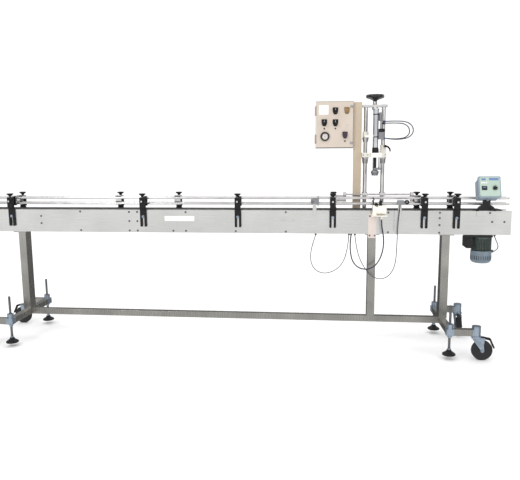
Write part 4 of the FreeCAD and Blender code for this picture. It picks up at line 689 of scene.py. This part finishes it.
def make_door_fittings():
    """Blank plate, shields, rims, lamps, gauge, locks and painted shade strips on the door's
    edges.
    """
    piece("door_label", [plate(62, 60, 2, (637, 1530), DOOR_FACE - 1, DOOR_FACE)], "white_film",
        "door", ("door_fittings",))
    shield = [(-16, 21), (16, 21), (18, 18), (18, 4), (15, -12), (8, -23), (-8, -23), (-15, -12),
        (-18, 4), (-18, 18)]
    shields = [slab([(x + a, z + b) for a, b in shield], DOOR_FACE - 3, DOOR_FACE, "XZ") for x,
        z in SWITCHES]
    piece("selector_shields", shields, "black_nylon", "door", edge=1.0)
    piece("regulator_shield", [slab([(REGULATOR[0] + 0.94 * a, REGULATOR[1] + b) for a,
        b in shield], DOOR_FACE - 3, DOOR_FACE, "XZ")], "purple_cap", "door", edge=1.0)
    piece("lamp_shield", [slab([(LAMP[0] + 0.94 * a, LAMP[1] + b) for a, b in shield],
        DOOR_FACE - 3, DOOR_FACE, "XZ")], "amber_lens", "door", edge=1.0)
    rims = [ring(16, 12, 3, 5, on_door(spot), "-Y", 36) for spot in SWITCHES + (REGULATOR,)]
    rims.append(ring(29, 20, 0, 9.5, on_door(GAUGE), "-Y", 56))
    piece("door_rims", rims, "black_enamel", "door", edge=0.8)
    piece("pilot_lens", [lathe([(15.5, 0), (16, 4), (14.5, 11), (9, 15.4), (3, 16)],
        on_door(LAMP, 0.4), "-Y", 36, lambda angle, r: r * (1 + 0.02 * cos(18 * angle)))],
        "amber_lens", "door")
    piece("small_lenses", [lathe([(5, 0), (5, 3), (3, 5)], (x, DOOR_FACE, z), "-Y", 20) for x,
        z in ((641, 1412), (712, 1412), (774, 1332))], "black_nylon", "door")
    piece("reset_button", [lathe([(6, 0), (6, 3), (4.4, 4.6)], on_door((792, 1442)), "-Y", 24)],
        "plate_coat", "door")
    piece("gauge_dial", [rod(20.4, 3, on_door(GAUGE), "-Y", 48)], "dial_face", "door")
    marks, turns = [], []
    for step in range(25):
        angle = radians(-45 + 270 * step / 24)
        marks.append(on_door((GAUGE[0] + 17.5 * cos(angle), GAUGE[1] + 17.5 * sin(angle)), 3))
        turns.append((0, -angle, 0))
    repeated("gauge_marks", marks, brick((-2.2, 2.2), (-0.3, 0), (-0.35, 0.35)), "black_film",
        turns, "door")
    piece("gauge_needle", [slab([(645, 1360), (647, 1360), (646.5, 1376), (645.7, 1376)],
        DOOR_FACE - 4.4, DOOR_FACE - 3.8, "XZ"), rod(2.4, 2, on_door(GAUGE, 3), "-Y", 16)],
        "needle_red", "door")
    piece("door_locks", [lathe([(9, 0), (9, 2), (7, 3.6)], (814, DOOR_FACE, z), "-Y", 24)
        for z in (1320, 1550)], "turned_steel", "door")
    # Dark strips along the door's sides, top and bottom: painted shade where its edges fall into
    # shadow, deepest along the bottom.
    low, high = (point / MM for point in map(Vector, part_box("box_door")))
    left, right, under, top = low.x + 7.5, high.x, low.z, high.z
    lip = (DOOR_FACE - 0.8, DOOR_FACE + 1)
    shade_strips = [brick(across, lip, up) for across, up in (((left, left + 2.5), (under, top)),
        ((right - 2, right), (under, top)), ((left, right), (under, under + 6)),
        ((left, right), (top - 2, top)))]
    piece("door_edging", shade_strips, "painted_edge_shade", "door", edge=0.4)


def make_door_knobs():
    """Winged selector knobs with their pointer lines, and the fluted regulator knob."""
    front = DOOR_FACE - 5.3
    for place, (x, z) in zip(("upper", "left", "right"), SWITCHES):
        node, body = "selector_" + place, "switch_" + place
        wing = [(x - 5, z - 13), (x + 5, z - 13), (x + 5.5, z + 9), (x + 2, z + 14),
            (x - 2, z + 14), (x - 5.5, z + 9)]
        piece(node + "_grip", [lathe([(14, 0), (14, 11), (12.5, 14), (6, 14.6)], (x, front, z),
            "-Y", 40), slab(wing, front - 28, front - 12, "XZ")], "black_nylon", body, (node,),
            edge=0.8)
        piece(node + "_line", [brick((x - 0.7, x + 0.7), (front - 28.4, front - 27.9),
            (z + 2, z + 12))], "white_film", body)
    piece("regulator_cap", [lathe([(16, 0), (16, 3), (15, 4), (15, 15), (13, 19), (5, 20)],
        on_door(REGULATOR, 5.3), "-Y", 96, lambda angle, r: r * (1 + 0.03 * cos(24 * angle))),
        slab([(769.5, 1358), (778.5, 1358), (777, 1386), (771, 1386)], DOOR_FACE - 35,
        DOOR_FACE - 24, "XZ")], "purple_cap", "regulator", ("regulator_knob",))


def make_box_gear():
    """Inside the box: mounting rails, relays, terminals and air valves."""
    back = 174.5
    rails = [brick((620, 796), (back - 8, back), (z - 17, z + 17)) for z in (1350, 1440, 1525)]
    piece("gear_rails", rails, "zinc", edge=0.8)
    relays = [plate(30, 62, 3, (640 + 36 * step, 1440), back - 62, back - 9) for step in range(4)]
    piece("relays", relays, "grey_shell", edge=0.8)
    terminals = [brick((626 + 8.4 * step, 633.4 + 8.4 * step), (back - 42, back - 9),
        (1506, 1545)) for step in range(20)]
    piece("terminals", terminals, "green_lid", edge=0.6)
    piece("air_valves", [brick((630 + 42 * step, 664 + 42 * step), (back - 48, back - 9),
        (1322, 1382)) for step in range(3)], "cast_alloy", edge=1.2)


# ---- head details

def make_handwheel():
    """A pressed six-lobed wheel, flat on top and coned to its boss."""
    def lobed(angle, radius):
        share = max(0.0, (radius - 20) / 38)
        return radius * (1 - 0.06 * share * (0.5 - 0.5 * cos(6 * angle)))

    piece("handwheel_pressing", [lathe([(8.2, 24), (11, 24), (12, 25.5), (18, 29), (34, 36),
        (50, 41.5), (56, 44.5), (58, 49), (58, 57), (56, 62), (51, 65), (30, 65.6), (12, 65.6),
        (8.2, 65.2)], (SCREW_X, COLUMN_Y, PLATE_TOP), "Z", 96, lobed)], "phenolic", "hand_drive",
        ("handwheel",))
    piece("handwheel_nut", [lathe([(9, 0), (9, 4), (7, 5.6)], (SCREW_X, COLUMN_Y,
        PLATE_TOP + 60.4), "Z", 6)], "turned_steel", "hand_drive", edge=0.4)
    piece("lead_screw_thread", [threads(8, CROSS_LOW - 70, PLATE_TOP - 2, 4,
        (SCREW_X, COLUMN_Y, 0), 1.4, 20), rod(8, 64, (SCREW_X, COLUMN_Y, PLATE_TOP - 2)),
        lathe([(12, 0.3), (13, 1.5), (13, 22), (12, 23.6)], (SCREW_X, COLUMN_Y, PLATE_TOP), "Z",
        36)], "turned_steel", "hand_drive", ("lead_screw",))


def make_head():
    """Bright bush caps on the carriage, the banded cylinder and its valve stack."""
    caps = []
    for x in COLUMN_X:
        caps.append(lathe([(15.6, -40.5), (17, -38), (20.2, -8), (22.5, -6), (22.5, -1),
            (21, 0)], (x, COLUMN_Y, CROSS_LOW), "Z", 48))
    caps.append(lathe([(15.6, -28.5), (17, -26), (20.4, -6), (21.5, -4), (21.5, 0)],
        (COLUMN_X[0], COLUMN_Y, CROSS_HIGH + 98), "Z", 48))
    piece("bush_caps", caps, "ground_bar", "head", edge=0.4)
    cross_screws = [(x + a, COLUMN_Y - 22, CROSS_LOW + 14.5) for x in COLUMN_X for a in (-14, 14)]
    repeated("carriage_screws", cross_screws, hexagon(4.2, 4), "zinc", [TOWARDS_FRONT] * 4,
        "head", edge=0.2)
    at = (HEAD_X, 0, CROSS_HIGH)
    piece("cylinder_tube", [lathe([(9.3, 34), (17, 34), (17, 258), (17.6, 259), (19, 262),
        (19, 274), (17, 276), (6, 276)], at, "Z", 56)], "anodised", "head", ("head_cylinder",))
    piece("cylinder_foot", [lathe([(9.3, 0.2), (19, 0.2), (20, 2), (20, 29), (18.6, 33.8),
        (9.3, 34)], at, "Z", 56), ring(18.2, 16.9, 96, 102, at), ring(18.2, 16.9, 236, 242, at)],
        "black_enamel", "head")
    right, base = HEAD_X + 17, CROSS_HIGH + 84
    piece("valve_body", [brick((right + 0.3, right + 34), (-12, 18), (base, base + 46)),
        brick((right + 34, right + 38), (-7, 13), (base + 6, base + 40))], "cast_alloy", "head",
        ("valve_block",), edge=1.5)
    piece("valve_coil", [brick((right + 2, right + 40), (-14, 20), (base + 46.3, base + 66))],
        "black_nylon", "head", edge=2.0)
    piece("valve_stem", [lathe([(9, 0), (9, 46), (7, 50), (7, 52)], (right + 20, 3, base + 66),
        "Z", 32)], "cast_alloy", "head")
    piece("muffler", [lathe([(7, 0), (11, 3)] + [(11 if step % 2 else 9.6, 6 + 3 * step)
        for step in range(14)] + [(9, 50), (5, 54)], (right + 11, 3, base + 114), "Z", 40)],
        "cast_alloy", "head")
    elbows, collars = [], []
    for start, y, z in ((20, 8, 112), (20, -4, 100), (30, 8, 6), (30, -6, 6)):
        end = 1026
        elbows.append(rod(5, end - right - start - 6, (right + start, y, base + z), "X", 24))
        collars.append(lathe([(5, 0), (6, 1), (6, 4.6), (4.4, 6)], (end - 6, y, base + z), "X",
            24))
    piece("hose_elbows", elbows, "black_nylon", "head")
    piece("hose_collars", collars, "blue_film", "head")


def make_ram():
    """The black ram, the bright stay beside it, and the grey yoke and fluted chuck."""
    low = CROSS_LOW - 78
    piece("ram_bar", [lathe([(9, 6), (9, 140)], (HEAD_X, 0, low), "Z", 36)], "black_enamel",
        "spindle", ("ram",))
    piece("stay_bar", [lathe([(6, 6), (6, 128), (5, 130)], (HEAD_X + 27, 0, low), "Z", 28),
        rod(9, 5, (HEAD_X + 27, 0, low + 12), "Z", 6)], "ground_bar", "spindle")
    piece("ram_yoke", [slab(rounded(61, 28, 10, (HEAD_X + 16.5, 0)), low, low + 12)],
        "cast_alloy", "spindle", edge=1.2)

    def gripped(angle, radius):
        return radius * (1 - 0.05 * (0.5 + 0.5 * cos(20 * angle))) if radius > 24 else radius

    piece("chuck_shell", [lathe([(14, 0), (18, 0), (20.5, 2), (21, 12), (24, 14), (25, 16),
        (25, 23), (22, 29), (15, 34), (13, 36), (13, 22), (14, 14)], (HEAD_X, 0, low - 36.3),
        "Z", 80, gripped)], "cast_alloy", "chuck_body", ("chuck",))
    piece("chuck_lining", [ring(14.6, 13.2, 0.4, 13.4, (HEAD_X, 0, low - 36.3)),
        lathe([(13, 20), (13, 22)], (HEAD_X, 0, low - 36.3))], "tyre", "chuck_body")


def make_bottle_clamp():
    """The rounded cream cylinder, its ring valve, switch box and nut, and the push rod."""
    x, z = 988, 904
    start = (x - 44, -112, z)
    piece("clamp_body", [lathe([(20, 0), (27, 2), (31, 8), (31, 80), (27, 86), (20, 88)], start,
        "X", 56), slab(rounded(26, 56, 5, (x - 31, -112)), 872, z + 30),
        rod(12, 40, (x, -112, z + 8), "Y", 32)], "cream_enamel", stands_for=("clamp_cylinder",),
        edge=1.2)
    piece("clamp_ring_valve", [ring(11, 5.5, 0, 20, (966, -120, 938), "-Y", 40),
        rod(5, 12, (966, -122, 938), "-Y", 24)], "black_nylon", edge=0.8)
    piece("clamp_switch", [plate(17, 32, 3, (994.5, 946), -126, -104),
        slab([(940, 958), (946, 954), (958, 966), (952, 980), (944, 982), (950, 968)], -116,
        -108, "XZ"), rod(4, 24, (950, -112, 934), "Z", 16)], "black_nylon", edge=0.8)
    piece("clamp_nut", [lathe([(7, 846), (8, 848), (8, 857), (7, 859)], (1002, -120, 0), "Z", 6),
        lathe([(6, 858), (6, 866)], (1002, -120, 0), "Z", 20)], "cream_enamel", edge=0.4)
    piece("clamp_push_rod", [rod(4, 60, (x, -120, z + 8), "Y", 24)], "ground_bar", "pusher",
        ("clamp_pad",))
    piece("clamp_push_pad", [lathe([(7, 0), (11, 2), (11, 8), (9, 10)], (x, -60, z + 8), "Y",
        36)], "tyre", "pusher")


# ---- speed controller details

def make_controller():
    """Grey shell, pale green lid with its films and dials, rim, screws, knob and rocker."""
    def on_box(shape):
        return placed(shape, SPEED_FRAME)

    piece("controller_shell", [on_box(plate(124, 122, 8, (0, 67), 26, 98)),
        on_box(ring(8, 5, 0, 8, (0, 60, 4), "-Z", 20))], "grey_shell", stands_for=("speed_box",),
        edge=1.5)
    piece("controller_lid", [on_box(plate(132, 134, 7, (0, 67), 4, 25))], "grey_shell", edge=2.0)
    piece("controller_seal", [on_box(plate(126, 126, 6, (0, 67), 24, 27.5))], "tyre")
    piece("controller_panel", [on_box(plate(118, 120, 5, (0, 67), 0, 4.4))], "green_lid",
        edge=1.0)
    piece("controller_strip", [on_box(plate(56, 15, 2, (24, 114), -0.5, 0))], "blue_film")
    piece("controller_display", [on_box(plate(26, 12, 2, (-36, 113), -0.5, 0))], "blue_film")
    piece("controller_keys", [on_box(plate(9, 9, 2, (-46 + 13 * step, 92), -1, 0))
        for step in range(3)], "white_film")
    piece("dial_ring", [on_box(ring(14, 10, -0.2, 0.6, (30, 0, 58), "-Y", 40))], "black_film")
    marks, turns = [], []
    for step in range(11):
        angle = radians(-50 + 280 * step / 10)
        spot = SPEED_FRAME @ Vector((30 + 18 * cos(angle), -0.2, 58 + 18 * sin(angle)))
        marks.append(tuple(spot))
        turns.append(tuple((SPEED_FRAME.to_3x3() @ Matrix.Rotation(-angle, 3, "Y")).to_euler()))
    repeated("dial_marks", marks, brick((-2.4, 2.4), (-0.3, 0.2), (-0.5, 0.5)), "black_film",
        turns)
    piece("rocker_frame", [on_box(plate(32, 26, 3, (-32, 58), -1.6, 0.2))], "black_nylon",
        edge=0.6)
    piece("speed_knob", [on_box(lathe([(9, 0.4), (9, 8), (8, 15), (5, 16)], (30, 0, 58), "-Y",
        40, lambda a, r: r * (1 + 0.03 * cos(16 * a)))), on_box(
        slab([(27.5, 49), (32.5, 49), (31.4, 71), (28.6, 71)], -19, -10, "XZ"))], "black_nylon",
        "dial", ("speed_dial",), edge=0.4)
    piece("knob_line", [on_box(brick((29.4, 30.6), (-19.4, -18.9), (60, 70)))], "white_film",
        "dial")
    half = [(-43.6, 49.6), (-20.4, 49.6), (-20.4, 66.4), (-43.6, 66.4)]
    piece("rocker_cap", [on_box(slab(half, -3, 8, "XZ"))], "black_film", "rocker",
        ("power_rocker",), edge=0.8)
    piece("rocker_mark", [on_box(brick((-41, -23), (-3.4, -2.9), (60, 65)))], "blue_film",
        "rocker")
    corners = [tuple(SPEED_FRAME @ Vector((a * 56, 0, 67 + b * 57))) for a in (-1, 1)
        for b in (-1, 1)]
    repeated("lid_screws", corners, hexagon(2.6, 1.4), "zinc", [
        tuple((SPEED_FRAME.to_3x3() @ Matrix.Rotation(pi / 2, 3, "X")).to_euler())] * 4)


for make in (make_rail_fasteners, make_chain_hinges, make_brackets, make_rail_plates,
        make_sensors, make_feet, make_casters, make_motor, make_gearbox, make_door_fittings,
        make_door_knobs, make_box_gear, make_handwheel, make_head, make_ram, make_bottle_clamp,
        make_controller):
    make()


# ---- hoses and cables

# Node: diameter, length, finish, body, stiffness and the route's points, in millimetres.
CORDS = {
    "motor_conduit": (6, 134, "conduit", "machine", "stiff", (
        (1706, -57, 736), (1714, -54, 714), (1728, -48, 690), (1737, -39, 666), (1732, -29, 643),
        (1708, -18, 627))),
    "head_hose_upper": (6.5, 399, "hose", "head", "medium", (
        (1026, 8, 1452), (1092, 6, 1454), (1158, 3, 1448), (1194, 0, 1420), (1198, 0, 1378),
        (1170, 2, 1349), (1124, 5, 1340), (1074, 8, 1339), (1026, 8, 1346))),
    "head_hose_lower": (6.5, 343, "hose", "head", "medium", (
        (1026, -4, 1440), (1082, -5, 1441), (1138, -8, 1437), (1170, -10, 1412),
        (1173, -12, 1374), (1148, -12, 1349), (1108, -10, 1343), (1066, -8, 1342),
        (1026, -6, 1346))),
    "left_sensor_cable": (5, 634, "cable", "machine", "medium", (
        (592, -57, 736), (577, -58, 690), (564, -60, 640), (558, -60, 588), (568, -60, 534),
        (600, -60, 496), (648, -60, 482), (696, -60, 492), (740, -60, 520), (772, -60, 562),
        (790, -59, 620), (800, -58, 680), (804, -57, 736))),
    "station_hose": (8, 645, "hose", "machine", "medium", (
        (818, -57, 736), (812, -68, 684), (814, -84, 628), (826, -98, 572), (862, -105, 532),
        (914, -108, 520), (964, -110, 540), (996, -112, 584), (1014, -116, 640),
        (1020, -119, 700), (1014, -120, 756), (1004, -120, 800), (1002, -120, 846))),
    "right_sensor_cable": (5, 870, "cable", "machine", "medium", (
        (842, -57, 736), (848, -66, 690), (858, -76, 634), (880, -84, 570), (916, -90, 510),
        (958, -94, 470), (1004, -96, 456), (1050, -96, 472), (1082, -95, 512), (1098, -94, 566),
        (1103, -93, 630), (1104, -92, 690), (1106, -90, 750), (1108, -86, 812), (1114, -82, 872),
        (1119, -81, 934))),
}
for node, (diameter, length, coat, body, stiffness, route) in CORDS.items():
    line = bpy.data.curves.new(node + "_line", "CURVE")
    line.dimensions = "3D"
    line.bevel_depth = diameter / 2 * MM
    line.bevel_resolution = 5
    line.resolution_u = 16
    line.use_fill_caps = True
    spline = line.splines.new("NURBS")
    spline.points.add(len(route) - 1)
    for point, place in zip(spline.points, route):
        point.co = (*(Vector(place) * MM), 1)
    spline.order_u = 3
    spline.use_endpoint_u = True
    line.materials.append(FINISH[coat])
    cord = in_scene(node + "_line", line)
    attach(cord, body)
    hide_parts(node)


# ---- studio

# The camera in metres, and its turns in degrees: heading, tilt up from straight down, roll.
CAMERA_AT = (0.6475, -3.8457, 1.2927)
CAMERA_TURNS = (("Z", 6.293), ("X", 81.13), ("Z", -0.466))


def make_stage():
    """A pale floor that sweeps up into a wall behind the machine."""
    reach, depth, bend, steps = 14.0, 9.0, 3.0, 12
    profile = [(-depth, 0.0), (depth - bend, 0.0)]
    profile += [(depth - bend + bend * sin(pi / 2 * step / steps),
        bend - bend * cos(pi / 2 * step / steps)) for step in range(1, steps + 1)]
    profile.append((depth, depth))
    mesh = bpy.data.meshes.new("studio_floor")
    points = [(side * reach, y, z) for y, z in profile for side in (-1, 1)]
    faces = [(row * 2, row * 2 + 1, row * 2 + 3, row * 2 + 2) for row in range(len(profile) - 1)]
    mesh.from_pydata(points, [], faces)
    mesh.shade_smooth()
    mesh.materials.append(finish("matt_studio_paper", "#fbfbfb", "#f7f7f7", 40, (0.85, 0.95)))
    floor = in_scene("studio_floor", mesh)
    floor.visible_glossy = False      # bright metal sees the room round the paper instead


def soft_light(name, power, size, at, aim):
    """A round area lamp, aimed at a point; sizes and places in metres."""
    lamp = bpy.data.lights.new(name, "AREA")
    lamp.energy, lamp.size, lamp.shape = power, size, "DISK"
    stand = in_scene(name, lamp)
    stand.location = at
    stand.rotation_euler = (Vector(aim) - Vector(at)).to_track_quat("-Z", "Y").to_euler()


def make_studio():
    """The stage, three soft lights, what the metal reflects, and the camera."""
    make_stage()
    soft_light("key_light", 70, 2.0, (-2.6, -4.2, 4.2), (0.2, 0, 0.9))
    soft_light("fill_light", 22, 3.0, (4.2, -4.0, 2.6), (0.8, 0, 0.8))
    soft_light("back_light", 40, 4.0, (0.0, 4.2, 4.4), (0, 0, 0.8))
    world = bpy.data.worlds.new("studio_air")
    world.use_nodes = True
    tree = world.node_tree
    tree.nodes.clear()
    # What the bright metal reflects: white in front and underfoot, dark behind and low down.
    way = add(tree, "ShaderNodeTexCoord")
    parts = add(tree, "ShaderNodeSeparateXYZ", {"Vector": way.outputs["Generated"]})
    behind = spread(tree, parts.outputs["Y"], 1.0, 0.14, 0.6, 0.88)
    ends = spread(tree, maths(tree, "ABSOLUTE", parts.outputs["X"]), 1.0, 0.15, 0.8, 0.94)
    below = spread(tree, parts.outputs["Z"], 0.46, 1.0, -0.24, -0.13)
    floor_glow = spread(tree, parts.outputs["Z"], 1.0, 0.0, -0.4, -0.3)
    dim = maths(tree, "MULTIPLY", maths(tree, "MULTIPLY", behind, ends), below)
    shade = add(tree, "ShaderNodeMix", {"Factor": maths(tree, "MAXIMUM", dim, floor_glow),
        6: linear("#000000"), 7: linear("#ffffff")}, data_type="RGBA")
    glow = add(tree, "ShaderNodeBackground", {"Color": shade.outputs[2], "Strength": 1.25})
    add(tree, "ShaderNodeOutputWorld", {"Surface": glow.outputs["Background"]})
    bpy.context.scene.world = world
    bpy.context.scene.view_settings.view_transform = "Standard"
    camera = bpy.data.cameras.new("camera")
    camera.sensor_width, camera.lens = 36.0, 40.85
    camera.clip_end = 100
    stand = in_scene("camera", camera)
    view = Matrix.Translation(CAMERA_AT)
    for axis, degrees in CAMERA_TURNS:
        view = view @ Matrix.Rotation(radians(degrees), 4, axis)
    stand.matrix_world = view
    bpy.context.scene.camera = stand


make_studio()
